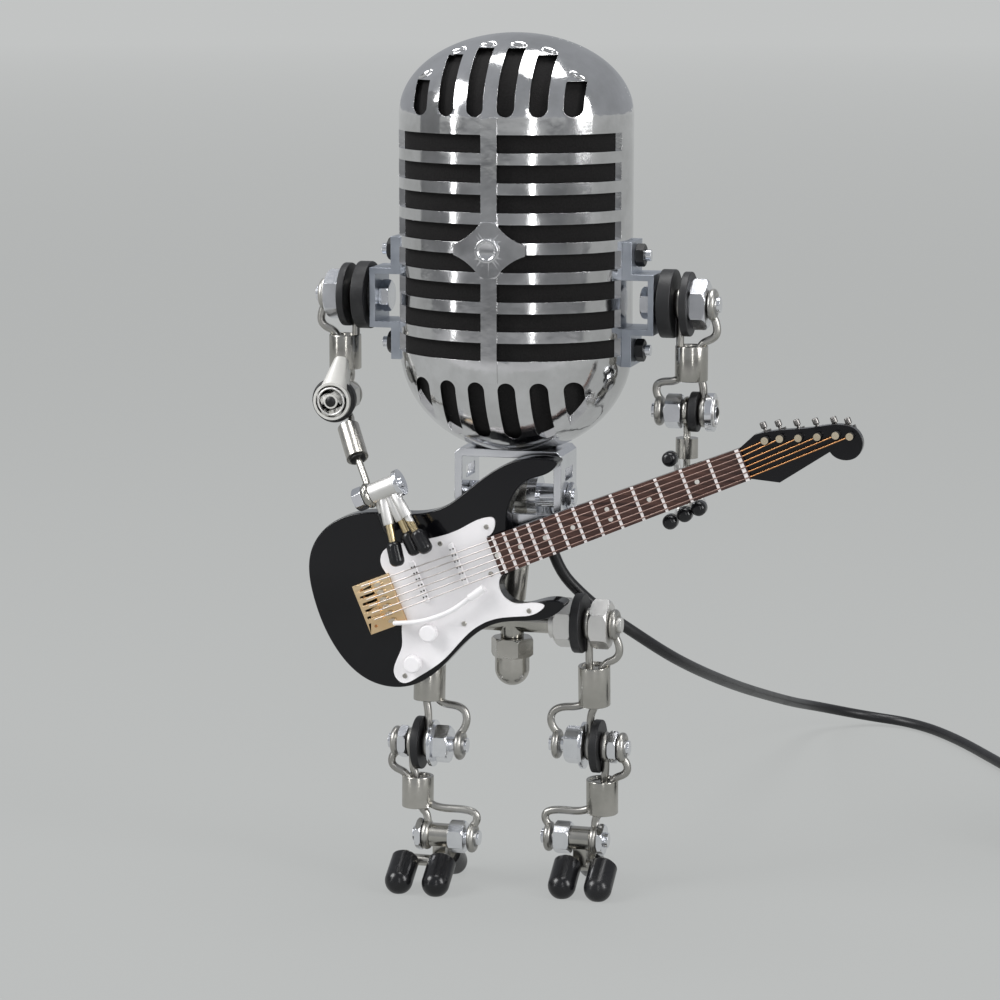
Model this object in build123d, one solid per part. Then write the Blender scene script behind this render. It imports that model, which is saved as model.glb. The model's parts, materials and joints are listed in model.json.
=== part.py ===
from build123d import *
import math
import os

# A robot-shaped table lamp: a microphone head, limbs of crimped steel wire on bolts, and a guitar.
# Millimetres. The front faces -Y, +Z is up, and the viewer's right hand is +X.

# Clearances
running_gap = 0.06      # radial play of an eye or lug on its bolt
side_gap = 0.1          # play along a bolt between neighbours
seat_gap = 0.05         # radial play of a screw or rod in its hole

# Steel wire and crimps
wire_radius = 0.95      # of the wire round an eye
strand_radius = 0.9     # of the wire between an eye and its crimp
crimp_radius = 4.1
crimp_bevel = 0.6
crimp_spread = 2.9      # furthest that a strand enters a crimp from its middle
strand_clear = 0.5      # room left between a strand and what it goes round

# Head
head_half_width = 29.4
head_half_depth = 25.0
dome_start = 198.0
dome_height = 20.0
bowl_start = 140.0
bowl_height = 26.6
head_bottom = 115.0
shell_wall = 1.5
neck_hole_radius = 9.0
rib_half_width = 2.0
rib_rise = 0.8
slot_half_height = 2.2
slot_pitch = 7.2
slot_rows = 8
lowest_slot = 141.6
slot_back = 6.5
column_spacing = 7.7
column_half_width = 2.15
dome_slot_bottom = 198.4
dome_slot_back = 9.0
dome_slot_tops = (214.6, 213.0, 206.8)
bowl_slot_top = 134.0
bowl_slot_bottom = 119.2
bowl_slot_back = 12.0
badge_height = 166.5
badge_half_width = 9.0
badge_half_height = 6.8
badge_hollow = (5.1, 3.3)
badge_side_end = 1.3    # half the height of the badge's side ends
badge_top_end = 1.8     # half the width of its upper and lower ends
badge_rise = 1.6
boss_radius = 2.9
boss_rise = 2.6
liner_gap = 0.1
liner_wall = 0.6
hole_above_bowl = 5.0

# Light source in the head
flange_radius = 8.4
flange_height = 2.0
socket_radius = 6.0
socket_top = 131.0
bulb_base_radius = 4.8
bulb_base_bottom = 122.0
bulb_radius = 12.5
bulb_middle = 146.0
board_width = 12.0
board_height = 9.0
board_thickness = 1.6
board_middle = 126.0
board_gap = 0.3

# Yoke and neck
yoke_outer = 13.8
yoke_wall = 2.0
yoke_half_depth = 8.0
yoke_foot = 95.0
yoke_slot_length = 8.0
yoke_slot_width = 3.0
yoke_slot_middle = 108.5
tilt_height = 102.6
neck_bolt_radius = 2.0
neck_bolt_end = 15.6
neck_nut_flats = 6.4
neck_thread_past = 0.4
knuckle_middle = 2.4
knuckle_width = 3.2
knuckle_radius = 5.2
neck_washer = 2.4
spacer_radius = 3.0
gland_radius = 2.4
gland_length = 4.6
gland_start = (6.4, 3.4, 101.0)
gland_turn = (0.11, 0.043, -1.0)

# Spine and hip
spine_radius = 3.0
tee_rise = 2.0          # of the tee's top over its barrel
knuckle_clear = 0.4
hip_middle = -0.9
hip_height = 70.2
hip_rod_radius = 2.0
barrel_half_length = 10.4
barrel_radius = 3.1
stub_bottom = 65.7
acorn_hex_height = 4.9
acorn_flats = 9.6
acorn_dome_height = 7.7
hip_collar = 1.6
hip_collar_radius = 4.2
hip_nut = 4.6
hip_nut_flats = 11.2
hip_rubber = 2.4
hip_rubber_radius = 7.6
hip_end_nut = 4.6
hip_rod_past = 1.0

# Shoulders
shoulder_height = 152.0
bracket_face = 30.9
bracket_seat = 27.0
bracket_half_depth = 6.0
bracket_plate = 1.5
bracket_reach = 36.5
bracket_half_height = 15.4
bump_half_height = 7.5
bracket_screw_drop = 11.8
bracket_screw_radius = 1.4
bracket_nut = 2.2
bracket_nut_flats = 5.0
bracket_screw_end = 34.6
shoulder_bolt_radius = 2.0
shoulder_washer = 1.0
shoulder_washer_radius = 5.4
shoulder_rubber = 3.4
shoulder_rubber_radius = 8.5
outer_rubber = 1.9
outer_rubber_radius = 8.0
shoulder_nut = 4.2
shoulder_nut_flats = 11.0
bolt_head = 2.6
bolt_head_flats = 7.0
bolt_past = 1.0
thin_nut_past = 0.6

# Arms
arm_crimp_side = 44.9
arm_crimp_top = 141.8
arm_crimp_bottom = 133.0
elbow_bolt_radius = 1.8
elbow_nut = 4.1
elbow_nut_flats = 7.6
elbow_rubber = 2.0
elbow_rubber_radius = 5.0
elbow_thin_nut = 1.8
elbow_thin_radius = 4.8
left_elbow = (-46.0, -8.6, 125.6)
right_elbow = (50.9, 0.0, 125.3)
forearm_radius = 2.8
wrist_bolt_radius = 1.3
wrist_nut = 2.6
wrist_nut_flats = 5.2
wrist_disc = 1.2
wrist_disc_radius = 3.4
palm_radius = 2.6
palm_length = 7.0
knuckle_pitch = 1.3
knuckle_margin = 0.35    # room between the first finger and the forearm's eye
left_wrist = (-32.6, -20.0, 104.0)
left_wrist_axis = (0.912, 0, 0.41)
right_wrist_height = 107.6
right_wrist_axis = (0, -1, 0)
sleeve_start = 9.6
left_sleeve_end = 19.5
right_sleeve_start = 6.6
right_sleeve_end = 11.6
finger_radius = 0.95
tip_radius = 1.9
tip_length = 6.4
tip_overlap = 3.0
tip_round = 1.5
left_fingers = ((-28.2, -18.6, 97.4), (-25.0, -22.2, 90.0), (-21.3, -20.6, 92.6), (-18.0, -23.0, 93.6))
right_fingers = ((42.6, 99.6), (46.2, 101.6), (49.7, 103.3), (42.3, 115.2))
right_tip_end = -14.2
right_tip_length = 4.6

# Legs
leg_bolt_radius = 1.9
knee_nut = 4.1
knee_nut_flats = 8.6
knee_washer = 0.9
knee_washer_radius = 6.0
knee_rubber = 2.0
knee_rubber_radius = 6.8
knee_thin_nut = 2.2
thin_nut_flats = 7.4
loop_room = 1.6         # free bolt between a loop's eye and the nut
ankle_height = 13.2
ankle_nut = 4.1
ankle_nut_flats = 7.6
hub_length = 5.0
hub_radius = 3.1
ankle_thin_nut = 1.6

# One row for each leg: side, knee end of the stack, knee, crimps, ankle end and the toes
left_leg = {"side": -1, "forward": -4.0, "knee": 37.2, "knee_start": -12.9, "thigh": -22.4,
            "thigh_top": 58.8, "thigh_bottom": 48.3, "shin": -25.1, "shin_top": 28.6,
            "shin_bottom": 20.4, "ankle_start": -9.4, "toes": (-27.4, -17.6)}
right_leg = {"side": 1, "forward": 2.6, "knee": 38.0, "knee_start": 9.6, "thigh": 20.4,
             "thigh_top": 59.3, "thigh_bottom": 48.9, "shin": 22.3, "shin_top": 29.4,
             "shin_bottom": 20.4, "ankle_start": 7.4, "toes": (14.0, 23.4)}

# Feet
toe_bar_height = 6.2
toe_bar_radius = 1.5
lug_half_width = 1.7
lug_half_depth = 2.0
cap_radius = 3.6
cap_flat = 0.5
cap_start_height = 7.0
cap_start_reach = 3.2
toe_reach = 9.2
heel_reach = 11.6
collar_radius = 2.6
collar_length = 1.0
cap_bore_depth = 4.0
floor_box = 30.0

# Guitar: u runs along the neck, v across it, both from the end of the fretboard
guitar_origin = (-0.8, 89.8)
guitar_slope = 22.37
guitar_back = -10.0
body_depth = 6.0
body_round = 0.4
board_end = 0.2
nut_place = 68.0
neck_back = -14.9
neck_depth = 2.5
heel_past = 0.8
nut_past = 1.0
pocket_past = 1.0
tongue_length = 8.0
board_half_wide = 4.9
board_half_narrow = 4.0
board_depth = 1.4
fret_rise = 0.25
fret_width = 0.7
first_fret_gap = 8.0
fret_ratio = 0.92
fret_count = 13
string_gap = 0.1
string_radius = 0.15
string_count = 6
string_spread = 6.6
saddle_spread = 9.0
guard_depth = 0.6
bridge_place = (-33.0, -1.4)
bridge_length = 10.0
bridge_width = 13.0
bridge_depth = 1.2
saddle_length = 4.0
saddle_width = 1.1
saddle_place = -35.0
pickup_length = 11.0
pickup_width = 1.5
pickup_rise = 0.9
pickup_places = ((-21.0, 0.4), (-9.8, 1.2))
knob_places = ((-23.5, -12.4), (-30.5, -18.4))
knob_radius = 2.2
knob_height = 2.6
tremolo_route = ((-30.5, -7.1), (-24.0, -9.1), (-16.0, -9.3), (-9.6, -7.6))
tremolo_height = -18.9
tremolo_radius = 0.6
tremolo_tip_radius = 1.0
tremolo_tip_length = 4.6
post_places = ((74.9, 3.7), (78.5, 2.9), (82.8, 1.5), (87.2, 0.2), (91.5, -1.0), (94.6, -2.4))
post_radius = 0.9
post_rise = 2.2
tuner_box = (2.6, 3.0, 1.3)
tuner_shift = 0.4
key_stem_radius = 0.45
key_reach = 2.5
key_radius = 0.8
key_length = 1.6
key_round = 0.3
guitar_bar_low = 94.6
guitar_bar_high = 99.4

body_outline = (
    (5.0, 5.0), (8.0, 10.6), (14.6, 14.6), (22.0, 15.0), (23.5, 16.2), (21.8, 17.6), (12.0, 20.3),
    (0.5, 18.0), (-9.0, 15.7), (-17.0, 17.0), (-26.5, 20.9), (-37.3, 21.9), (-45.2, 17.4),
    (-49.5, 5.2), (-49.0, -8.0), (-44.0, -18.6), (-34.0, -23.6), (-23.8, -21.6), (-15.0, -17.6),
    (-6.5, -16.2), (4.0, -19.0), (9.1, -18.9), (11.7, -17.3), (10.0, -15.8), (-0.4, -13.3),
    (-2.6, -10.0), (0.5, -5.2))
guard_outline = (
    (-0.3, 5.2), (2.4, 6.6), (3.0, 8.8), (0.8, 9.7), (-6.3, 9.2), (-14.5, 9.6), (-22.0, 11.0),
    (-27.6, 10.4), (-29.0, 7.6), (-28.6, 5.2), (-28.4, 0.0), (-28.6, -6.0), (-30.2, -9.2),
    (-31.8, -13.2), (-35.0, -16.6), (-36.6, -19.6), (-35.6, -22.0), (-31.4, -22.2), (-23.0, -20.2),
    (-13.2, -15.7), (-6.5, -14.9), (0.6, -16.6), (5.2, -16.9), (6.9, -16.0), (5.2, -14.6),
    (0.0, -12.9), (-2.2, -9.6), (-1.8, -6.6), (-0.2, -5.1))
head_outline = (
    (72.6, 5.8), (78.5, 4.8), (86.8, 2.5), (92.5, 1.2), (96.1, -1.3), (96.6, -5.2), (93.9, -7.8),
    (90.6, -7.3), (88.4, -4.4))
head_corner = (74.2, -7.2)

# Cord: free points from the gland to the coil, then the coil and its plug
cord_radius = 1.5
cord_start_run = 11.8
cord_approach = 24.0
cord_points = (
    (17.3, 9.2, 73.4), (26.6, 16.5, 65.2), (33.6, 27.0, 57.3), (37.6, 43.0, 50.2), (40.0, 64.0, 42.8),
    (41.4, 92.0, 34.0), (42.2, 128.0, 23.6), (43.6, 163.0, 13.6), (46.6, 183.0, 8.1),
    (59.6, 196.0, 2.9), (76.0, 194.6, 1.8), (90.6, 178.6, 1.8), (108.0, 150.0, 1.9),
    (125.0, 122.0, 2.2))
coil_middle = (150.0, 75.0)
coil_pitch = 4.1
coil_inner = 11.4
coil_layer_halves = 6
coil_layers = 4
coil_side = -1          # the first turn starts on this side of the coil's middle
coil_samples = 4000
plug_grip = (9.0, 15.0, 6.0)
plug_shell = (9.0, 11.0, 4.4)
plug_chord = 9.0
plug_bevel = 1.0
plug_lift = 2.4         # room under the plug for the turn that climbs to it
tie_wall = 0.7
tie_width = 5.0
tie_gap = 0.2
coil_lift = tie_wall + tie_gap + cord_radius

base = (Align.CENTER, Align.CENTER, Align.MIN)
nodes = {}


# Basic shapes

def place(start, end):
    return Plane(origin=start, z_dir=Vector(*end) - Vector(*start))


def rod(start, end, radius):
    length = (Vector(*end) - Vector(*start)).length
    return place(start, end) * Cylinder(radius, length, align=base)


def bored(start, end, radius, bore):
    return rod(start, end, radius) - rod(start, end, bore)


def hex_nut(start, end, flats, bore):
    length = (Vector(*end) - Vector(*start)).length
    blank = Cylinder(flats / math.sqrt(3), length, align=base)
    blank = chamfer(blank.edges(), 0.06 * flats)
    prism = extrude(RegularPolygon(flats / 2, 6, major_radius=False), amount=length)
    return place(start, end) * (blank & prism) - rod(start, end, bore)


def on_axis(middle, axis, along):
    return tuple(Vector(*middle) + Vector(*axis) * along)


def eye(middle, axis, bolt_radius):
    ring_radius = bolt_radius + running_gap + wire_radius
    return Plane(origin=middle, z_dir=Vector(*axis)) * Torus(ring_radius, wire_radius)


def turn_at(before, corner, after):
    return (Vector(*corner) - Vector(*before)).get_angle(Vector(*after) - Vector(*corner))


def smooth_path(points, share=0.45):
    kept = [points[0]]
    for number in range(1, len(points) - 1):
        if turn_at(kept[-1], points[number], points[number + 1]) > 0.5:
            kept.append(points[number])
    kept.append(points[-1])
    radii = []
    for before, corner, after in zip(kept, kept[1:], kept[2:]):
        shorter = min((Vector(*corner) - Vector(*before)).length,
                      (Vector(*after) - Vector(*corner)).length)
        radii.append(share * shorter / math.tan(math.radians(turn_at(before, corner, after)) / 2))
    if not radii:
        return Line(*kept), radii
    return FilletPolyline(*kept, radius=radii), radii


def tube(points, radius):
    path, radii = smooth_path(points)
    section = Plane(origin=path @ 0, z_dir=path % 0) * Circle(radius)
    return sweep(section, path=path)


# Limb links: a crimp with a straight strand and a looped strand at each end

def prongs(crimp_end, joint, axis, inner, outer, bolt_radius, inner_clear, outer_clear):
    """Strands from a crimp's end to an eye beside the washers and one past the nut.

    inner and outer are places along the axis from joint, and crimp_end is a point."""
    axis = Vector(*axis)
    joint = Vector(*joint)
    reach = Vector(*crimp_end) - joint
    crimp_place = reach.dot(axis)
    toward = (reach - axis * crimp_place).normalized()
    distance = (reach - axis * crimp_place).length
    outward = 1 if outer > inner else -1
    spacing = 2 * wire_radius
    inner_shift = max(-crimp_spread, min(crimp_spread - spacing, (inner - crimp_place) * outward))
    outer_shift = max(inner_shift + spacing, min(crimp_spread, (outer - crimp_place) * outward))
    ring = bolt_radius + running_gap + wire_radius

    def spot(along, away):
        return tuple(joint + axis * along + toward * away)

    into = 2.0
    inner_in = crimp_place + inner_shift * outward
    outer_in = crimp_place + outer_shift * outward
    inner_corner = min(inner_clear + strand_clear + wire_radius / 2, distance - 0.4)
    inner_strand = tube([spot(inner_in, distance + into), spot(inner_in, distance - 0.1),
                         spot(inner, inner_corner), spot(inner, ring)], strand_radius)
    bulge = outer + 0.7 * outward
    shoulder = outer_clear + strand_clear + wire_radius
    outer_strand = tube([spot(outer_in, distance + into), spot(outer_in, distance - 0.1),
                         spot(bulge, shoulder), spot(outer, ring)], strand_radius)
    eyes = eye(spot(inner, 0), axis, bolt_radius) + eye(spot(outer, 0), axis, bolt_radius)
    return inner_strand + outer_strand + eyes


def crimp(start, end):
    blank = rod(start, end, crimp_radius)
    return chamfer(blank.edges().filter_by(GeomType.CIRCLE), crimp_bevel)


# Head

def egg(grow):
    width = head_half_width + grow
    top = EllipticalCenterArc((0, dome_start), width, dome_height + grow, 0, arc_size=90)
    bowl = EllipticalCenterArc((0, bowl_start), width, bowl_height + grow, 270, arc_size=90)
    wall = Line((width, bowl_start), (width, dome_start))
    middle = Line((0, dome_start + dome_height + grow), (0, bowl_start - bowl_height - grow))
    profile = Plane.XZ * make_face([bowl, wall, top, middle])
    turned = revolve(profile, axis=Axis.Z)
    return scale(turned, by=(1, (head_half_depth + grow) / width, 1))


def half_space(side):
    size = 4 * head_half_width
    return Pos(0, side * size / 2, bowl_start) * Box(size, size, 4 * size)


def below_head():
    size = 4 * head_half_width
    floor = Pos(0, 0, head_bottom) * Box(size, size, size, align=(Align.CENTER, Align.CENTER, Align.MAX))
    hole = Pos(0, 0, head_bottom) * Cylinder(neck_hole_radius, flange_height + bowl_height - hole_above_bowl)
    return floor + hole


def block(x0, x1, y0, y1, z0, z1):
    middle = Pos((x0 + x1) / 2, (y0 + y1) / 2, (z0 + z1) / 2)
    return middle * Box(abs(x1 - x0), abs(y1 - y0), abs(z1 - z0))


def upright_slot(middle, back, reach, low, high):
    """A slot with straight sides up to high and a round end below low."""
    slot = block(middle - column_half_width, middle + column_half_width, back, reach, low, high)
    return slot + rod((middle, back, low), (middle, reach, low), column_half_width)


def grille_slots(side):
    reach = side * 1.2 * head_half_depth
    cuts = []
    for row in range(slot_rows):
        height = lowest_slot + row * slot_pitch
        for hand in (-1, 1):
            cuts.append(block(hand * rib_half_width, hand * 1.1 * head_half_width, side * slot_back,
                              reach, height - slot_half_height, height + slot_half_height))
    for column, top in enumerate(dome_slot_tops):
        for hand in (-1, 1):
            middle = hand * (column + 0.5) * column_spacing
            cuts.append(upright_slot(middle, side * dome_slot_back, reach,
                                     dome_slot_bottom + column_half_width, top))
            bowl_high = bowl_slot_top - column_half_width
            cuts.append(upright_slot(middle, side * bowl_slot_back, reach,
                                     bowl_slot_bottom + column_half_width, bowl_high))
            cuts.append(rod((middle, side * bowl_slot_back, bowl_high), (middle, reach, bowl_high),
                            column_half_width))
    return cuts


def screw_heights():
    return (shoulder_height - bracket_screw_drop, shoulder_height + bracket_screw_drop)


def shell_half(side):
    shell = egg(0) - egg(-shell_wall) - below_head()
    half = (shell & half_space(side)) - grille_slots(side)
    rib = (egg(rib_rise) - egg(-shell_wall)) & block(-rib_half_width, rib_half_width, 0,
                                                    side * 2 * head_half_depth, bowl_slot_top,
                                                    dome_slot_bottom)
    half = half + (rib & half_space(side))
    holes = []
    for height in screw_heights():
        holes.append(rod((-bracket_reach, 0, height), (bracket_reach, 0, height),
                         bracket_screw_radius + seat_gap))
    return half - holes


def badge():
    edges = []
    for across, up in ((1, 1), (-1, 1), (-1, -1), (1, -1)):
        side_end = (across * badge_half_width, badge_height + up * badge_side_end)
        hollow = (across * badge_hollow[0], badge_height + up * badge_hollow[1])
        top_end = (across * badge_top_end, badge_height + up * badge_half_height)
        edges.append(ThreePointArc(side_end, hollow, top_end))
    for side in (1, -1):
        level = badge_height + side * badge_half_height
        reach = side * badge_half_width
        edges.append(Line((-badge_top_end, level), (badge_top_end, level)))
        edges.append(Line((reach, badge_height - badge_side_end), (reach, badge_height + badge_side_end)))
    star = Plane.XZ * make_face(edges)
    plate = (extrude(star, amount=2 * head_half_depth) & egg(badge_rise)) - egg(-shell_wall)
    boss = rod((0, -head_half_depth / 2, badge_height), (0, -head_half_depth - boss_rise, badge_height),
               boss_radius)
    return plate + (boss - egg(-shell_wall))


def head_nodes():
    nodes["front_shell"] = shell_half(-1) + badge()
    nodes["rear_shell"] = shell_half(1)
    outer = -shell_wall - liner_gap
    nodes["grille_liner"] = egg(outer) - egg(outer - liner_wall) - below_head()
    socket = bored((0, 0, head_bottom + flange_height), (0, 0, socket_top), socket_radius,
                   bulb_base_radius + seat_gap)
    pad_front = bulb_base_radius + seat_gap + board_gap
    board_front = socket_radius + board_gap
    pad = block(-board_width / 4, board_width / 4, pad_front, board_front,
                board_middle - board_height / 4, board_middle + board_height / 4)
    flange = rod((0, 0, head_bottom), (0, 0, head_bottom + flange_height), flange_radius)
    plinth = rod((0, 0, head_bottom + flange_height), (0, 0, bulb_base_bottom), socket_radius)
    nodes["lamp_holder"] = flange + plinth + socket + pad
    bulb = rod((0, 0, bulb_base_bottom), (0, 0, bulb_middle), bulb_base_radius)
    nodes["led_bulb"] = bulb + Pos(0, 0, bulb_middle) * Sphere(bulb_radius)
    nodes["dimmer_board"] = block(-board_width / 2, board_width / 2, board_front,
                                  board_front + board_thickness, board_middle - board_height / 2,
                                  board_middle + board_height / 2)


# Shoulder brackets, bolts and washers

def shoulder_stack():
    """Places along X of each piece on the shoulder bolt, from the bracket outward."""
    spots = {"washer": bracket_reach}
    spots["rubber"] = spots["washer"] + shoulder_washer
    spots["inner_eye"] = spots["rubber"] + shoulder_rubber + side_gap + wire_radius
    spots["outer_rubber"] = spots["inner_eye"] + wire_radius + side_gap
    spots["nut"] = spots["outer_rubber"] + outer_rubber
    spots["outer_eye"] = spots["nut"] + shoulder_nut + side_gap + wire_radius
    spots["end"] = spots["outer_eye"] + wire_radius + bolt_past
    return spots


def bracket(side):
    low = shoulder_height - bracket_half_height
    high = shoulder_height + bracket_half_height
    bump_low = shoulder_height - bump_half_height
    bump_high = shoulder_height + bump_half_height
    depth = bracket_half_depth
    flange = block(side * bracket_seat, side * bracket_face, -depth, depth, low, high)
    bump = block(side * bracket_seat, side * bracket_reach, -depth, depth, bump_low, bump_high)
    hollow = block(side * bracket_seat, side * (bracket_reach - bracket_plate), -depth, depth,
                   bump_low + bracket_plate, bump_high - bracket_plate)
    plate = flange + bump - hollow - egg(0)
    for height in screw_heights():
        plate = plate - rod((side * bracket_seat, 0, height), (side * bracket_reach, 0, height),
                            bracket_screw_radius + seat_gap)
    bolt_hole = rod((side * bracket_seat, 0, shoulder_height),
                    (side * (bracket_reach + 1), 0, shoulder_height), shoulder_bolt_radius + seat_gap)
    return plate - bolt_hole


def shoulder_nodes():
    spots = shoulder_stack()
    brackets = []
    screws = []
    bolts = []
    washers = []
    for side in (-1, 1):
        def at(along, height=shoulder_height):
            return (side * along, 0, height)

        brackets.append(bracket(side))
        for height in screw_heights():
            inner = head_half_width - shell_wall
            screws.append(rod(at(inner, height), at(bracket_screw_end, height), bracket_screw_radius))
            screws.append(hex_nut(at(bracket_face, height), at(bracket_face + bracket_nut, height),
                                  bracket_nut_flats, bracket_screw_radius + seat_gap))
        back = bracket_reach - bracket_plate
        shaft = rod(at(back - bolt_head), at(spots["end"]), shoulder_bolt_radius)
        head = hex_nut(at(back - bolt_head), at(back), bolt_head_flats, shoulder_bolt_radius / 2)
        bolts.append(shaft + head)
        bore = shoulder_bolt_radius + seat_gap
        bolts.append(hex_nut(at(spots["nut"]), at(spots["nut"] + shoulder_nut), shoulder_nut_flats, bore))
        washers.append(bored(at(spots["washer"]), at(spots["rubber"]), shoulder_washer_radius, bore))
        washers.append(bored(at(spots["rubber"]), at(spots["rubber"] + shoulder_rubber),
                             shoulder_rubber_radius, bore))
        washers.append(bored(at(spots["outer_rubber"]), at(spots["nut"]), outer_rubber_radius, bore))
    nodes["shoulder_brackets"] = brackets
    nodes["bracket_screws"] = screws
    nodes["shoulder_bolts"] = bolts
    nodes["shoulder_washers"] = washers


# Yoke, neck and spine

def yoke():
    plate = block(-yoke_outer, yoke_outer, -yoke_half_depth, yoke_half_depth,
                  head_bottom - yoke_wall, head_bottom)
    hole = rod((-2 * yoke_outer, 0, tilt_height), (2 * yoke_outer, 0, tilt_height),
               neck_bolt_radius + running_gap)
    for side in (-1, 1):
        leg = block(side * (yoke_outer - yoke_wall), side * yoke_outer, -yoke_half_depth,
                    yoke_half_depth, yoke_foot, head_bottom)
        plate = plate + leg
    plate = chamfer(plate.edges().filter_by(Axis.Y).group_by(Axis.Z)[-1], 0.6 * yoke_wall)
    slot_bar = Pos(0, 0, yoke_slot_middle) * Box(3 * yoke_outer, yoke_slot_length, yoke_slot_width)
    return plate - hole - slot_bar


def neck_stack():
    """Places along X on the neck bolt: the knuckle, a washer each side, spacers and nuts."""
    low = knuckle_middle - knuckle_width / 2
    high = knuckle_middle + knuckle_width / 2
    wall = yoke_outer - yoke_wall - side_gap
    return {"low": low, "high": high, "wall": wall}


def neck_nodes():
    nodes["yoke"] = yoke()
    spots = neck_stack()
    bore = neck_bolt_radius + seat_gap

    def at(along):
        return (along, 0, tilt_height)

    bolt = rod(at(-neck_bolt_end), at(neck_bolt_end), neck_bolt_radius)
    pieces = [bolt]
    left_washer = spots["low"] - neck_washer
    right_washer = spots["high"] + neck_washer
    pieces.append(bored(at(left_washer), at(spots["low"]), knuckle_radius, bore))
    pieces.append(bored(at(-spots["wall"]), at(left_washer), spacer_radius, bore))
    gland_way = Vector(*gland_turn).normalized()
    gland_end = tuple(Vector(*gland_start) + gland_way * gland_length)
    gland = rod(gland_start, gland_end, gland_radius)
    washer = rod(at(spots["high"]), at(right_washer), knuckle_radius)
    spacer = rod(at(right_washer), at(spots["wall"]), spacer_radius)
    bolt_space = rod(at(spots["high"]), at(spots["wall"]), bore)
    pieces.append(washer + spacer + gland - bolt_space)
    for side in (-1, 1):
        near = yoke_outer + side_gap
        far = neck_bolt_end - neck_thread_past
        pieces.append(hex_nut(at(side * near), at(side * far), neck_nut_flats, bore))
    nodes["neck_hardware"] = pieces
    knuckle = rod(at(spots["low"]), at(spots["high"]), knuckle_radius)
    seat = hip_height + barrel_radius + tee_rise
    spine = rod((hip_middle, 0, seat - spine_radius), (knuckle_middle, 0, tilt_height), spine_radius)
    wide = 2 * spine_radius
    spine = spine - block(-2 * wide, 2 * wide, -wide, wide, seat - wide, seat)
    cheek_low = tilt_height - knuckle_radius - knuckle_clear
    cheek_high = tilt_height + spine_radius
    left_cheek = block(spots["low"] - wide, spots["low"], -wide, wide, cheek_low, cheek_high)
    right_cheek = block(spots["high"], spots["high"] + wide, -wide, wide, cheek_low, cheek_high)
    bolt_hole = rod(at(-neck_bolt_end), at(neck_bolt_end), bore)
    nodes["spine_tube"] = (spine - left_cheek - right_cheek) + knuckle - bolt_hole
    return gland_end


def hip_stack():
    """Places along X from the hip's middle: barrel, collar, nut, rubber, eye, nut and eye."""
    spots = {"collar": barrel_half_length}
    spots["nut"] = spots["collar"] + hip_collar
    spots["rubber"] = spots["nut"] + hip_nut
    spots["inner_eye"] = spots["rubber"] + hip_rubber + side_gap + wire_radius
    spots["end_nut"] = spots["inner_eye"] + wire_radius + side_gap
    spots["outer_eye"] = spots["end_nut"] + hip_end_nut + side_gap + wire_radius
    spots["end"] = spots["outer_eye"] + wire_radius + hip_rod_past
    return spots


def hip_nodes():
    spots = hip_stack()

    def at(along):
        return (hip_middle + along, 0, hip_height)

    bore = hip_rod_radius + seat_gap
    barrel = rod(at(-barrel_half_length), at(barrel_half_length), barrel_radius)
    top = (hip_middle, 0, hip_height + barrel_radius + tee_rise)
    bottom = (hip_middle, 0, stub_bottom)
    tee = barrel + rod(bottom, top, spine_radius) - rod(at(-spots["end"]), at(spots["end"]), bore)
    nodes["hip_tee"] = tee
    pieces = [rod(at(-spots["end"]), at(spots["end"]), hip_rod_radius)]
    rubbers = []
    for side in (-1, 1):
        pieces.append(bored(at(side * spots["collar"]), at(side * spots["nut"]), hip_collar_radius, bore))
        pieces.append(hex_nut(at(side * spots["nut"]), at(side * spots["rubber"]), hip_nut_flats, bore))
        pieces.append(hex_nut(at(side * spots["end_nut"]), at(side * (spots["end_nut"] + hip_end_nut)),
                              hip_nut_flats, bore))
        rubbers.append(bored(at(side * spots["rubber"]), at(side * (spots["rubber"] + hip_rubber)),
                             hip_rubber_radius, bore))
    nodes["hip_hardware"] = pieces
    nodes["hip_rubber"] = rubbers
    hex_bottom = stub_bottom - acorn_hex_height
    hexagon = hex_nut(bottom, (hip_middle, 0, hex_bottom), acorn_flats, 0.5)
    dome_radius = 0.46 * acorn_flats
    neck = rod(bottom, (hip_middle, 0, hex_bottom - acorn_dome_height + dome_radius), dome_radius)
    cap = Pos(hip_middle, 0, hex_bottom - acorn_dome_height + dome_radius) * Sphere(dome_radius)
    nodes["acorn_nut"] = hexagon + neck + cap


# Arms

def elbow_stack():
    """Places from the thin nut's outer face inward along the elbow bolt."""
    spots = {"thin_nut": 0.0}
    spots["inner_eye"] = elbow_thin_nut + side_gap + wire_radius
    spots["rubber"] = spots["inner_eye"] + wire_radius + side_gap
    spots["forearm_eye"] = spots["rubber"] + elbow_rubber + side_gap + wire_radius
    spots["nut"] = spots["forearm_eye"] + wire_radius + side_gap
    spots["outer_eye"] = spots["nut"] + elbow_nut + loop_room / 2 + wire_radius
    spots["end"] = spots["outer_eye"] + wire_radius + bolt_past
    return spots


def elbow_nodes(name, start, axis):
    spots = elbow_stack()
    bore = elbow_bolt_radius + seat_gap

    def at(along):
        return on_axis(start, axis, along)

    pieces = [rod(at(-thin_nut_past), at(spots["end"]), elbow_bolt_radius)]
    pieces.append(bored(at(0), at(elbow_thin_nut), elbow_thin_radius, bore))
    pieces.append(hex_nut(at(spots["nut"]), at(spots["nut"] + elbow_nut), elbow_nut_flats, bore))
    nodes[name + "_elbow_hardware"] = pieces
    nodes[name + "_elbow_rubber"] = bored(at(spots["rubber"]), at(spots["rubber"] + elbow_rubber),
                                          elbow_rubber_radius, bore)


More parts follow.
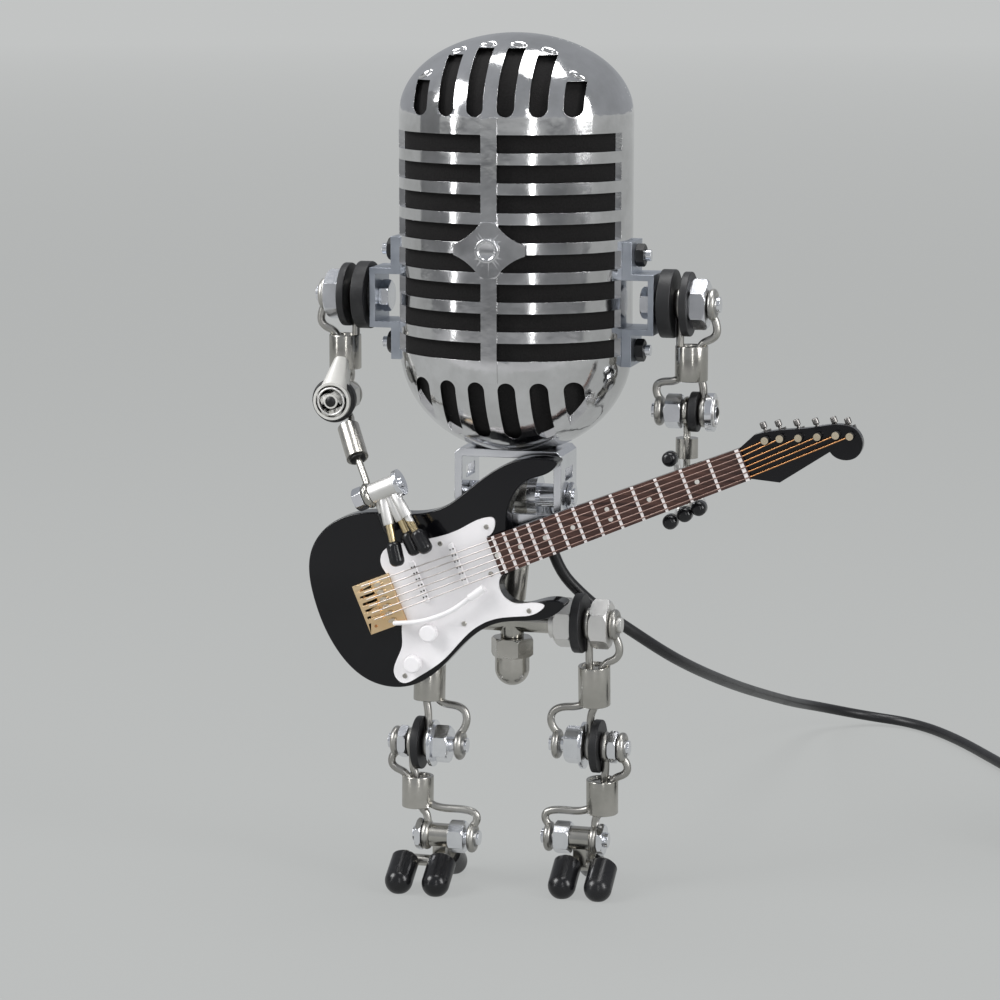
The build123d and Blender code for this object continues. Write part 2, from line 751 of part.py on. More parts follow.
def upper_arm(name, side, elbow, axis):
    spots = shoulder_stack()
    bends = elbow_stack()
    top = (side * arm_crimp_side, 0, arm_crimp_top)
    bottom = (side * arm_crimp_side, 0, arm_crimp_bottom)
    shoulder = prongs(top, (0, 0, shoulder_height), (side, 0, 0), spots["inner_eye"], spots["outer_eye"],
                      shoulder_bolt_radius, shoulder_rubber_radius, shoulder_nut_flats / math.sqrt(3))
    bend = prongs(bottom, elbow, axis, bends["inner_eye"], bends["outer_eye"], elbow_bolt_radius,
                  elbow_rubber_radius, elbow_nut_flats / math.sqrt(3))
    nodes[name + "_upper_arm"] = crimp(top, bottom) + shoulder + bend


def forearm(name, elbow, axis, wrist, wrist_axis, sleeve_from, sleeve_to):
    """Eye on the elbow bolt, a sleeve, and an eye on the wrist bolt."""
    spots = elbow_stack()
    start = on_axis(elbow, axis, spots["forearm_eye"])
    way = (Vector(*wrist) - Vector(*start)).normalized()

    def along(distance):
        return tuple(Vector(*start) + way * distance)

    def across_axis(some_axis):
        return (way - Vector(*some_axis) * way.dot(Vector(*some_axis))).normalized()

    ring = elbow_bolt_radius + running_gap + wire_radius
    flat = across_axis(axis)
    rim = tuple(Vector(*start) + flat * ring)
    corner = tuple(Vector(*start) + flat * (elbow_rubber_radius + 2 * strand_clear))
    neck = tube([rim, corner, along(sleeve_from + 1)], strand_radius)
    sleeve = rod(along(sleeve_from), along(sleeve_to), forearm_radius)
    wrist_ring = wrist_bolt_radius + running_gap + wire_radius
    wrist_flat = across_axis(wrist_axis)
    wrist_corner = tuple(Vector(*wrist) - wrist_flat * (palm_radius + 3 * strand_clear))
    wrist_rim = tuple(Vector(*wrist) - wrist_flat * wrist_ring)
    stem = tube([along(sleeve_to - 1), wrist_corner, wrist_rim], strand_radius)
    wrist_eye = eye(wrist, wrist_axis, wrist_bolt_radius)
    nodes[name + "_forearm"] = eye(start, axis, elbow_bolt_radius) + neck + sleeve + stem + wrist_eye


def wrist_nodes(name, wrist, axis):
    """Nut, forearm eye, palm barrel and disc along the wrist bolt. Returns the palm's two ends."""
    def at(along):
        return on_axis(wrist, axis, along)

    eye_edge = wire_radius + side_gap
    palm_end = eye_edge + palm_length
    disc_end = palm_end + side_gap + wrist_disc
    bore = wrist_bolt_radius + seat_gap
    pieces = [rod(at(-eye_edge - wrist_nut - 0.5), at(disc_end + 0.5), wrist_bolt_radius)]
    pieces.append(hex_nut(at(-eye_edge - wrist_nut), at(-eye_edge), wrist_nut_flats, bore))
    pieces.append(bored(at(palm_end + side_gap), at(disc_end), wrist_disc_radius, bore))
    nodes[name + "_wrist_hardware"] = pieces
    return at(eye_edge), at(palm_end)


def hand_nodes(name, wrist, axis, fingers):
    """fingers: for each, the points from the palm to the tip's middle line and its end."""
    palm_start, palm_end = wrist_nodes(name, wrist, axis)
    palm = rod(palm_start, palm_end, palm_radius)
    tips = []
    for points, tip_back, tip_front in fingers:
        rods = tube(points, finger_radius)
        palm = palm + rods
        tip = rod(tip_back, tip_front, tip_radius)
        tip = fillet(tip.edges().filter_by(GeomType.CIRCLE), tip_round)
        tips.append(tip)
    bore = rod(palm_start, palm_end, wrist_bolt_radius + running_gap)
    nodes[name + "_hand"] = palm - bore
    nodes[name + "_fingertips"] = [tip - palm for tip in tips]


def knuckle(number):
    """Place of a finger's root along the palm, past the forearm's eye."""
    return wire_radius + side_gap + finger_radius + knuckle_margin + knuckle_pitch * number


def left_hand():
    fingers = []
    for number, middle in enumerate(left_fingers):
        start = on_axis(left_wrist, left_wrist_axis, knuckle(number))
        way = (Vector(*middle) - Vector(*start)).normalized()
        tip_back = tuple(Vector(*middle) - way * tip_length / 2)
        tip_front = tuple(Vector(*middle) + way * tip_length / 2)
        root = tuple(Vector(*start) + way * (wrist_bolt_radius + running_gap))
        rod_end = tuple(Vector(*tip_back) + way * tip_overlap)
        fingers.append(([root, rod_end], tip_back, tip_front))
    hand_nodes("left", left_wrist, left_wrist_axis, fingers)


def right_wrist():
    return (right_elbow[0] - elbow_stack()["forearm_eye"], right_elbow[1], right_wrist_height)


def right_hand():
    wrist = right_wrist()
    fingers = []
    for number, (across, height) in enumerate(right_fingers):
        back = wrist[1] - knuckle(number)
        middle = Vector(wrist[0], back, wrist[2])
        way = (Vector(across, back, height) - middle).normalized()
        root = tuple(middle + way * (wrist_bolt_radius + running_gap))
        corner = (across, back, height)
        tip_back = (across, right_tip_end + right_tip_length, height)
        rod_end = (across, right_tip_end + right_tip_length - tip_overlap, height)
        fingers.append(([root, corner, rod_end], tip_back, (across, right_tip_end, height)))
    hand_nodes("right", wrist, right_wrist_axis, fingers)


def arm_nodes():
    left_axis = (0, 1, 0)
    right_axis = (-1, 0, 0)
    elbow_nodes("left", left_elbow, left_axis)
    elbow_nodes("right", right_elbow, right_axis)
    upper_arm("left", -1, left_elbow, left_axis)
    upper_arm("right", 1, right_elbow, right_axis)
    left_hand()
    right_hand()
    forearm("left", left_elbow, left_axis, left_wrist, left_wrist_axis, sleeve_start, left_sleeve_end)
    forearm("right", right_elbow, right_axis, right_wrist(), right_wrist_axis, right_sleeve_start,
            right_sleeve_end)


# Legs

def knee_stack():
    """Places along the knee bolt from the outer face of the thigh's looped eye."""
    spots = {"thigh_outer": wire_radius}
    spots["nut"] = 2 * wire_radius + loop_room
    spots["washer"] = spots["nut"] + knee_nut
    spots["thigh_inner"] = spots["washer"] + knee_washer + side_gap + wire_radius
    spots["rubber"] = spots["thigh_inner"] + wire_radius + side_gap
    spots["shin_inner"] = spots["rubber"] + knee_rubber + side_gap + wire_radius
    spots["thin_nut"] = spots["shin_inner"] + wire_radius + side_gap
    spots["shin_outer"] = spots["thin_nut"] + knee_thin_nut + side_gap + wire_radius
    spots["end"] = spots["shin_outer"] + wire_radius + bolt_past
    return spots


def ankle_stack():
    """Places along the ankle bolt from the outer face of the shin's looped eye."""
    spots = {"outer_eye": wire_radius}
    spots["nut"] = 2 * wire_radius + loop_room / 2
    spots["hub"] = spots["nut"] + ankle_nut + side_gap
    spots["inner_eye"] = spots["hub"] + hub_length + side_gap + wire_radius
    spots["thin_nut"] = spots["inner_eye"] + wire_radius + side_gap
    spots["end"] = spots["thin_nut"] + ankle_thin_nut + bolt_past
    return spots


def knee_point(leg):
    return (leg["knee_start"], 0.75 * leg["forward"], leg["knee"])


def ankle_point(leg):
    return (leg["ankle_start"], leg["forward"], ankle_height)


def leg_depth(leg, height):
    """Y of a leg's middle line at a height, on straight lines from hip to knee to ankle."""
    knee = knee_point(leg)
    ankle = ankle_point(leg)
    if height > knee[2]:
        return knee[1] * (hip_height - height) / (hip_height - knee[2])
    return knee[1] + (ankle[1] - knee[1]) * (knee[2] - height) / (knee[2] - ankle[2])


def leg_nodes(name, leg):
    side = leg["side"]
    axis = (side, 0, 0)
    hips = hip_stack()
    knees = knee_stack()
    ankles = ankle_stack()
    knee = knee_point(leg)
    ankle = ankle_point(leg)

    def crimp_spot(across, height):
        return (across, leg_depth(leg, height), height)

    thigh_top = crimp_spot(leg["thigh"], leg["thigh_top"])
    thigh_bottom = crimp_spot(leg["thigh"], leg["thigh_bottom"])
    hip_prongs = prongs(thigh_top, (hip_middle, 0, hip_height), axis, hips["inner_eye"],
                        hips["outer_eye"], hip_rod_radius, hip_rubber_radius,
                        hip_nut_flats / math.sqrt(3))
    knee_prongs = prongs(thigh_bottom, knee, axis, knees["thigh_inner"], knees["thigh_outer"],
                         leg_bolt_radius, knee_rubber_radius, knee_nut_flats / math.sqrt(3))
    nodes[name + "_thigh"] = crimp(thigh_top, thigh_bottom) + hip_prongs + knee_prongs

    def on_knee(along):
        return on_axis(knee, axis, along)

    bore = leg_bolt_radius + seat_gap
    pieces = [rod(on_knee(-bolt_past), on_knee(knees["end"]), leg_bolt_radius)]
    pieces.append(hex_nut(on_knee(knees["nut"]), on_knee(knees["washer"]), knee_nut_flats, bore))
    pieces.append(bored(on_knee(knees["washer"]), on_knee(knees["washer"] + knee_washer),
                        knee_washer_radius, bore))
    pieces.append(hex_nut(on_knee(knees["thin_nut"]), on_knee(knees["thin_nut"] + knee_thin_nut),
                          thin_nut_flats, bore))
    nodes[name + "_knee_hardware"] = pieces
    nodes[name + "_knee_rubber"] = bored(on_knee(knees["rubber"]), on_knee(knees["rubber"] + knee_rubber),
                                         knee_rubber_radius, bore)

    shin_top = crimp_spot(leg["shin"], leg["shin_top"])
    shin_bottom = crimp_spot(leg["shin"], leg["shin_bottom"])
    upper = prongs(shin_top, knee, axis, knees["shin_inner"], knees["shin_outer"], leg_bolt_radius,
                   knee_rubber_radius, thin_nut_flats / math.sqrt(3))
    lower = prongs(shin_bottom, ankle, axis, ankles["inner_eye"], ankles["outer_eye"], leg_bolt_radius,
                   max(hub_radius, thin_nut_flats / math.sqrt(3)), ankle_nut_flats / math.sqrt(3))
    nodes[name + "_shin"] = crimp(shin_top, shin_bottom) + upper + lower

    def on_ankle(along):
        return on_axis(ankle, axis, along)

    pieces = [rod(on_ankle(-bolt_past), on_ankle(ankles["end"]), leg_bolt_radius)]
    pieces.append(hex_nut(on_ankle(ankles["nut"]), on_ankle(ankles["nut"] + ankle_nut),
                          ankle_nut_flats, bore))
    pieces.append(hex_nut(on_ankle(ankles["thin_nut"]), on_ankle(ankles["thin_nut"] + ankle_thin_nut),
                          thin_nut_flats, bore))
    nodes[name + "_ankle_hardware"] = pieces
    foot_nodes(name, leg)


def foot_nodes(name, leg):
    ankles = ankle_stack()
    axis = (leg["side"], 0, 0)
    ankle = ankle_point(leg)
    hub_start = on_axis(ankle, axis, ankles["hub"])
    hub_end = on_axis(ankle, axis, ankles["hub"] + hub_length)
    middle = (hub_start[0] + hub_end[0]) / 2
    depth = leg["forward"]
    frame = rod(hub_start, hub_end, hub_radius)
    frame = frame + block(middle - lug_half_width, middle + lug_half_width, depth - lug_half_depth,
                          depth + lug_half_depth, toe_bar_height, ankle_height)
    toes = sorted(leg["toes"] + (middle,))
    frame = frame + rod((toes[0], depth, toe_bar_height), (toes[-1], depth, toe_bar_height),
                        toe_bar_radius)
    caps = []
    spots = [(leg["toes"][0], -1, toe_reach), (leg["toes"][1], -1, toe_reach), (middle, 1, heel_reach)]
    for across, forward, reach in spots:
        bar_start = (across, depth, toe_bar_height)
        end = (across, depth + forward * reach, cap_radius - cap_flat)
        start_reach = cap_start_reach + reach - toe_reach
        start = (across, depth + forward * start_reach, cap_start_height)
        way = (Vector(*end) - Vector(*start)).normalized()
        collar_back = tuple(Vector(*start) - way * collar_length)
        stem_end = tuple(Vector(*start) + way * cap_bore_depth)
        stem = rod(collar_back, stem_end, toe_bar_radius)
        arm = rod(bar_start, collar_back, toe_bar_radius) + Pos(*collar_back) * Sphere(toe_bar_radius)
        arm = arm + Pos(*bar_start) * Sphere(toe_bar_radius)
        frame = frame + arm + stem + rod(collar_back, start, collar_radius)
        cap = rod(start, end, cap_radius) + Pos(*end) * Sphere(cap_radius) - stem
        under = Pos(end[0], end[1], -floor_box / 2) * Box(floor_box, floor_box, floor_box)
        caps.append(cap - under)
    nodes[name + "_foot"] = frame - rod(hub_start, hub_end, leg_bolt_radius + running_gap)
    nodes[name + "_toe_caps"] = caps


# Guitar

def guitar_plane(depth):
    """Plane with u and v in the guitar's face, looking out of its front, at Y = depth."""
    slope = math.radians(guitar_slope)
    along = Vector(math.cos(slope), 0, math.sin(slope))
    return Plane(origin=(guitar_origin[0], depth, guitar_origin[1]), x_dir=along, z_dir=(0, -1, 0))


def guitar_point(u, v, depth):
    return tuple(guitar_plane(depth).from_local_coords(Vector(u, v, 0)))


def slab(sketch, back, front):
    return extrude(guitar_plane(back) * sketch, amount=back - front)


def curved_face(points):
    return make_face([Spline(*points), Line(points[-1], points[0])])


def cell(u0, u1, v0, v1):
    return Pos((u0 + u1) / 2, (v0 + v1) / 2) * Rectangle(abs(u1 - u0), abs(v1 - v0))


def half_board(place_along):
    share = (place_along - board_end) / (nut_place - board_end)
    return board_half_wide + (board_half_narrow - board_half_wide) * share


def guitar_front():
    return guitar_back - body_depth


def neck_node():
    front = neck_back - neck_depth
    near = board_end + heel_past
    far = nut_place + nut_past
    heel = cell(-tongue_length, near, -board_half_narrow, board_half_narrow)
    shaft = make_face(Polyline((near, -half_board(near)), (far, -half_board(nut_place)),
                               (far, half_board(nut_place)), (near, half_board(near)), close=True))
    head_back = Polyline(head_outline[-1], head_corner, (nut_place, -half_board(nut_place)),
                         (nut_place, half_board(nut_place)), head_outline[0])
    head = make_face([Spline(*head_outline), head_back])
    neck = slab(heel, neck_back, guitar_front()) + slab(shaft + head, neck_back, front)
    for u, v in post_places:
        neck = neck - slab(Pos(u, v) * Circle(post_radius + seat_gap), neck_back + pocket_past,
                           front - pocket_past)
    nodes["guitar_neck"] = neck


def fretboard_node():
    back = neck_back - neck_depth
    front = back - board_depth
    wide = half_board(board_end)
    narrow = half_board(nut_place)
    face = make_face(Polyline((board_end, -wide), (nut_place, -narrow), (nut_place, narrow),
                              (board_end, wide), close=True))
    board = slab(face, back, front)
    spot = nut_place
    gap = first_fret_gap
    for number in range(fret_count):
        spot = spot - gap
        gap = gap * fret_ratio
        width = half_board(spot)
        board = board + slab(cell(spot - fret_width / 2, spot + fret_width / 2, -width, width), front,
                             front - fret_rise)
    nut = cell(nut_place - 1, nut_place, -narrow, narrow)
    board = board + slab(nut, front, string_level() + string_radius)
    nodes["fretboard"] = board


def string_level():
    return neck_back - neck_depth - board_depth - fret_rise - string_gap - string_radius


def string_rows():
    rows = []
    for number in range(string_count):
        share = number / (string_count - 1) - 0.5
        rows.append((-share * saddle_spread, -share * string_spread))
    return rows


def hardware_nodes():
    front = guitar_front()
    guard_front = front - guard_depth
    deck_front = front - guard_depth - bridge_depth
    deck = slab(Pos(*bridge_place) * Rectangle(bridge_length, bridge_width), front, deck_front)
    guard = slab(curved_face(guard_outline), front, guard_front)
    deck_space = Pos(*bridge_place) * Rectangle(bridge_length + 2 * seat_gap, bridge_width + 2 * seat_gap)
    nodes["pickguard"] = guard - slab(deck_space, front, guard_front)
    level = string_level()
    for at_bridge, at_nut in string_rows():
        saddle = cell(saddle_place - saddle_length / 2, saddle_place + saddle_length / 2,
                      at_bridge - saddle_width / 2, at_bridge + saddle_width / 2)
        deck = deck + slab(saddle, deck_front, level + string_radius)
    nodes["guitar_bridge"] = deck
    pickups = []
    for u, v in pickup_places:
        bar = Pos(u, v) * Rectangle(pickup_width, pickup_length)
        pickups.append(slab(bar, guard_front, guard_front - pickup_rise))
    nodes["pickups"] = pickups
    knobs = []
    for u, v in knob_places:
        knobs.append(slab(Pos(u, v) * Circle(knob_radius), guard_front, guard_front - knob_height))
    nodes["knobs"] = knobs
    route = [guitar_point(u, v, tremolo_height) for u, v in tremolo_route]
    foot_top = guitar_point(*tremolo_route[0], tremolo_height)
    foot = guitar_point(*tremolo_route[0], deck_front)
    arm = tube(route, tremolo_radius) + Pos(*foot_top) * Sphere(tremolo_radius)
    arm = arm + rod(foot, foot_top, tremolo_radius)
    way = (Vector(*route[-1]) - Vector(*route[-2])).normalized()
    tip_end = tuple(Vector(*route[-1]) + way * tremolo_tip_length)
    nodes["tremolo_arm"] = arm + rod(route[-1], tip_end, tremolo_tip_radius)


def string_nodes():
    level = string_level()
    strings = []
    for (at_bridge, at_nut), (post_u, post_v) in zip(string_rows(), post_places):
        start = guitar_point(saddle_place, at_bridge, level)
        kink = guitar_point(nut_place - 0.5, at_nut, level)
        gap = math.hypot(post_u - nut_place, post_v - at_nut)
        share = (gap - post_radius - string_radius) / gap
        end = guitar_point(nut_place + (post_u - nut_place) * share,
                           at_nut + (post_v - at_nut) * share, level)
        line = rod(start, kink, string_radius) + rod(kink, end, string_radius)
        strings.append(line + Pos(*kink) * Sphere(string_radius))
    nodes["strings"] = strings


def tuner_nodes():
    front = neck_back - neck_depth
    tuners = []
    for u, v in post_places:
        post = slab(Pos(u, v) * Circle(post_radius), neck_back, front - post_rise)
        box = slab(Pos(u, v + tuner_shift) * Rectangle(tuner_box[0], tuner_box[1]),
                   neck_back + tuner_box[2], neck_back)
        depth = neck_back + tuner_box[2] / 2
        key_start = guitar_point(u, v + key_reach, depth)
        stem = rod(guitar_point(u, v, depth), key_start, key_stem_radius)
        key = rod(key_start, guitar_point(u, v + key_reach + key_length, depth), key_radius)
        key = fillet(key.edges().filter_by(GeomType.CIRCLE), key_round)
        tuners.append(post + box + stem + key)
    nodes["tuners"] = tuners


def guitar_nodes():
    front = guitar_front()
    body = slab(curved_face(body_outline), guitar_back, front)
    rims = body.edges().group_by(Axis.Y)
    body = fillet(rims[0] + rims[-1], body_round)
    neck_node()
    near = board_end + heel_past
    pocket = cell(-tongue_length - seat_gap, near, -board_half_narrow - seat_gap,
                  board_half_narrow + seat_gap)
    half_width = board_half_wide + seat_gap
    past = cell(near - seat_gap, nut_place, -half_width, half_width)
    open_front = front - pocket_past
    nodes["guitar_body"] = body - slab(pocket, neck_back, open_front) - slab(past, neck_back, open_front)
    fretboard_node()
    hardware_nodes()
    string_nodes()
    tuner_nodes()
    nodes["guitar_bracket"] = block(-yoke_outer, yoke_outer, guitar_back, -yoke_half_depth,
                                    guitar_bar_low, guitar_bar_high)


# Cord

def coil_points():
    """Points where the coil's half turns meet, spiralling in and out through the layers."""
    spots = []
    radius = coil_inner + coil_pitch / 2 * coil_layer_halves
    side = coil_side
    for layer in range(coil_layers):
        step = -coil_pitch / 2 if layer % 2 == 0 else coil_pitch / 2
        height = coil_lift + layer * coil_pitch
        for number in range(coil_layer_halves + 1):
            if number > 0:
                radius = radius + step
            spots.append((coil_middle[0] + side * radius, coil_middle[1], height))
            side = -side
    top = coil_top() + plug_grip[2] / 2 + plug_lift
    spots.append((coil_middle[0] + side * radius, coil_middle[1], top))
    spots.append((coil_middle[0] - side * plug_chord, coil_middle[1], top))
    return spots


def coil_top():
    return coil_lift + (coil_layers - 1) * coil_pitch + cord_radius


def coil_start():
    return coil_points()[0]


def coil_node():
    spots = coil_points()
    turn = -1
    start = spots[0]
    lead_in = (start[0], start[1] + 2 * cord_radius, start[2])
    edges = [Line(lead_in, start)]
    samples = []
    for before, after in zip(spots, spots[1:]):
        middle = (Vector(*before) + Vector(*after)) / 2
        radius = (Vector(*after) - Vector(*before)).length / 2
        top = middle + Vector(0, turn * radius, 0)
        edges.append(ThreePointArc(before, tuple(top), after))
        turn = -turn
    end = spots[-1]
    plug_face = (end[0], end[1] + turn * 2 * cord_radius, end[2])
    edges.append(Line(end, plug_face))
    path = Wire(edges)
    for number in range(coil_samples + 1):
        samples.append(path @ (number / coil_samples))
    section = Plane(origin=lead_in, z_dir=(0, -1, 0)) * Circle(cord_radius)
    coil = sweep(section, path=path)
    nodes["cord_coil"] = coil
    least = least_self_gap(samples, path.length)
    print("coil length", round(path.length, 1), "volume", round(coil.volume, 1), "section times length",
          round(math.pi * cord_radius ** 2 * path.length, 1), "least gap to itself", round(least, 2))
    return lead_in, plug_face, turn


def least_self_gap(samples, length):
    """Smallest distance between stretches more than four diameters apart along the tube."""
    step = length / (len(samples) - 1)
    apart = int(8 * cord_radius / step) + 1
    coords = [tuple(point) for point in samples]
    least = length
    for number in range(0, len(coords), 3):
        x, y, z = coords[number]
        for other in coords[number + apart::3]:
            distance = (x - other[0]) ** 2 + (y - other[1]) ** 2 + (z - other[2]) ** 2
            least = min(least, distance)
    return math.sqrt(least) - 2 * cord_radius


def cord_nodes(gland_end):
    lead_in, plug_face, turn = coil_node()
    first = tuple(Vector(*gland_end) + Vector(*gland_turn).normalized() * cord_start_run)
    approach = (lead_in[0], lead_in[1] + cord_approach, lead_in[2])
    points = [gland_end, first] + list(cord_points) + [approach, lead_in]
    path, radii = smooth_path(points)
    section = Plane(origin=path @ 0, z_dir=path % 0) * Circle(cord_radius)
    lead = sweep(section, path=path)
    nodes["cord_lead"] = lead
    print("cord radii", [round(radius, 1) for radius in radii])
    print("cord length", round(path.length, 1), "volume", round(lead.volume, 1), "section times length",
          round(math.pi * cord_radius ** 2 * path.length, 1))
    way = 1 if plug_face[1] > coil_middle[1] else -1
    grip = Pos(plug_face[0], plug_face[1] + way * plug_grip[1] / 2, plug_face[2]) * Box(*plug_grip)
    grip = chamfer(grip.edges().filter_by(Axis.Y), plug_bevel)
    shell = Pos(plug_face[0], plug_face[1] + way * (plug_grip[1] + plug_shell[1] / 2),
                plug_face[2]) * Box(*plug_shell)
    nodes["cord_plug"] = grip + shell
    outer = coil_inner + coil_pitch / 2 * coil_layer_halves + cord_radius + coil_pitch / 4 + tie_gap
    inner = coil_inner - cord_radius - coil_pitch / 4 - tie_gap
    low = coil_lift - cord_radius - tie_gap
    high = coil_top() + tie_gap
    hole = block(-tie_width, tie_width, -outer, -inner, low, high)
    band = block(-tie_width / 2, tie_width / 2, -outer - tie_wall, -inner + tie_wall, low - tie_wall,
                 high + tie_wall)
    nodes["cord_tie"] = Pos(coil_middle[0], coil_middle[1], 0) * (band - hole)


# Whole object

cord_names = ("cord_lead", "cord_coil", "cord_plug", "cord_tie")


def all_solids(piece):
    if isinstance(piece, (list, tuple)):
        found = []
        for item in piece:
            found.extend(item.solids())
        return found
    return list(piece.solids())


def build():
    head_nodes()
    shoulder_nodes()
    gland_end = neck_nodes()
    hip_nodes()
    arm_nodes()
    leg_nodes("left", left_leg)
    leg_nodes("right", right_leg)
    guitar_nodes()
    cord_nodes(gland_end)


def origin_shift():
    """Where the middle of the object's box, without its cord, lies before it moves to the origin."""
    solids = []
    for name, piece in nodes.items():
        if name not in cord_names:
            solids.extend(all_solids(piece))
    box = Compound(children=solids).bounding_box()
    return ((box.min.X + box.max.X) / 2, (box.min.Y + box.max.Y) / 2, box.min.Z)


build()
shift_x, shift_y, shift_z = origin_shift()
print("origin shift", round(shift_x, 3), round(shift_y, 3), round(shift_z, 3))
os.makedirs("parts", exist_ok=True)
for node_name, piece in nodes.items():
    solids = [Pos(-shift_x, -shift_y, -shift_z) * solid for solid in all_solids(piece)]
    shape = solids[0] if len(solids) == 1 else Compound(children=solids)
    export_step(shape, "parts/" + node_name + ".step")
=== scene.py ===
import bmesh
import bpy
import json
import math
from mathutils import Matrix, Vector
from mathutils.bvhtree import BVHTree


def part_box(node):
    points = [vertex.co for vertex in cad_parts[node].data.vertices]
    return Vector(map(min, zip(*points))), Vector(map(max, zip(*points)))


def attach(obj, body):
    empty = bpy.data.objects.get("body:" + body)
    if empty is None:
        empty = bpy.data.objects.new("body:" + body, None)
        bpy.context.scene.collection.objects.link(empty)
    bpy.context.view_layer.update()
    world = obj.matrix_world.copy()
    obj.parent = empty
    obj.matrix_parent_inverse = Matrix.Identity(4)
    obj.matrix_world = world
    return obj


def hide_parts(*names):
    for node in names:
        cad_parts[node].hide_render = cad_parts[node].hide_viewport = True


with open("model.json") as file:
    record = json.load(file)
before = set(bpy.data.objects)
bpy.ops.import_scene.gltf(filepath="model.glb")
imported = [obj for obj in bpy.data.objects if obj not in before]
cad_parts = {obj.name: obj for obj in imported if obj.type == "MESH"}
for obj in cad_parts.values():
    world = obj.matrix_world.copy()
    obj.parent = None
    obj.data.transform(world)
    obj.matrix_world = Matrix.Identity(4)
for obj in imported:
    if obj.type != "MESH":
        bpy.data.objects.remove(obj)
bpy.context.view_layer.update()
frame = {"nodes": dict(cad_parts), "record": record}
nodes = frame["nodes"]
record = frame["record"]
mm = 0.001
quarterTurn = math.radians(90)
guitarTilt = math.radians(22.37)  # how far the guitar's neck rises to the right
cornerAngle = 32  # degrees between two faces from which their edge is a corner

# The yoke stands on the lamp's middle line, so its box gives the drawing's zero.
yokeLow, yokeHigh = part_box("yoke")
zero = Vector(((yokeLow[0] + yokeHigh[0]) / 2, (yokeLow[1] + yokeHigh[1]) / 2, 0))

bodyOf = {member: body for body, members in record["behaviour"]["bodies"].items() for member in members}


def at(x, y, z):
    # A place in the drawing's millimetres, as a place in the scene.
    return zero + Vector((x, y, z)) * mm


# Shader maths: a wrapped socket adds its Math nodes when it is used in a sum.
class Flow:
    def __init__(self, finish, socket):
        self.finish = finish
        self.socket = socket

    def __add__(self, other):
        return self.finish.math("ADD", self, other)

    def __radd__(self, other):
        return self.finish.math("ADD", other, self)

    def __sub__(self, other):
        return self.finish.math("SUBTRACT", self, other)

    def __rsub__(self, other):
        return self.finish.math("SUBTRACT", other, self)

    def __mul__(self, other):
        return self.finish.math("MULTIPLY", self, other)

    def __rmul__(self, other):
        return self.finish.math("MULTIPLY", other, self)


class Finish:
    def __init__(self, name, **fixed):
        self.material = bpy.data.materials.new(name)
        self.material.use_nodes = True
        self.tree = self.material.node_tree
        self.shader = self.tree.nodes["Principled BSDF"]
        for label, value in fixed.items():
            self.shader.inputs[label.replace("_", " ")].default_value = value

    def node(self, kind, settings=None, inputs=None, output=0):
        made = self.tree.nodes.new(kind)
        for label, value in (settings or {}).items():
            setattr(made, label, value)
        for label, value in (inputs or {}).items():
            if isinstance(value, Flow):
                self.tree.links.new(value.socket, made.inputs[label])
            else:
                made.inputs[label].default_value = value
        return Flow(self, made.outputs[output])

    def math(self, operation, first, second):
        return self.node("ShaderNodeMath", {"operation": operation}, {0: first, 1: second})

    def coords(self):
        return self.node("ShaderNodeTexCoord", output="Object")

    def stretched(self, scale, turn):
        return self.node("ShaderNodeMapping", {},
                         {"Vector": self.coords(), "Scale": scale, "Rotation": turn})

    def noise(self, scale, detail, vector=None, rough=0.5):
        return self.node("ShaderNodeTexNoise", {}, {"Vector": vector or self.coords(), "Scale": scale,
                                                    "Detail": detail, "Roughness": rough})

    def mixed(self, factor, first, second):
        return self.node("ShaderNodeMix", {"data_type": "RGBA"}, {0: factor, 6: first, 7: second}, 2)

    def spread(self, flow, low, high):
        return self.node("ShaderNodeMapRange", {}, {"Value": flow, "From Min": low, "From Max": high})

    def bump(self, height, strength, distance):
        return self.node("ShaderNodeBump", {},
                         {"Height": height, "Strength": strength, "Distance": distance})

    def feed(self, label, flow):
        self.tree.links.new(flow.socket, self.shader.inputs[label])
        return self


def rgb(red, green, blue):
    return (red, green, blue, 1)


def metal(name, dull, bright, smooth, haze, fine=900, dent=0.03):
    # Bare or plated metal with handling marks and a faint ripple.
    finish = Finish(name, Metallic=1.0)
    marks = finish.spread(finish.noise(scale=55, detail=5, rough=0.6), low=0.38, high=0.68)
    grain = finish.noise(scale=fine, detail=2)
    ripple = finish.noise(scale=130, detail=2)
    finish.feed("Base Color", finish.mixed(marks, dull, bright))
    finish.feed("Roughness", smooth + marks * haze + grain * (haze * 0.3))
    return finish.feed("Normal", finish.bump(ripple + grain * 0.15, strength=dent, distance=0.0006))


def plastic(name, base, worn, smooth, haze, coat=0.0, gloss=0.5):
    # Moulded or painted plastic that wears in patches, under a coat where it has one.
    finish = Finish(name, Coat_Roughness=0.04, Specular_IOR_Level=gloss)
    marks = finish.spread(finish.noise(scale=38, detail=5, rough=0.62), low=0.42, high=0.72)
    grain = finish.noise(scale=1400, detail=2)
    finish.feed("Base Color", finish.mixed(marks, base, worn))
    finish.feed("Roughness", smooth + marks * haze)
    finish.feed("Coat Weight", coat - marks * (coat * 0.15))
    return finish.feed("Normal", finish.bump(grain, strength=0.02, distance=0.0002))


def rubber(name, base, dusty, smooth, dent=0.25):
    # Soft rubber with a fine grain and some dust.
    finish = Finish(name, Specular_IOR_Level=0.4)
    dust = finish.spread(finish.noise(scale=70, detail=6, rough=0.7), low=0.5, high=0.85)
    grain = finish.noise(scale=1100, detail=4)
    finish.feed("Base Color", finish.mixed(dust * 0.6, base, dusty))
    finish.feed("Roughness", smooth + dust * 0.18 + grain * 0.06)
    return finish.feed("Normal", finish.bump(grain, strength=dent, distance=0.0001))


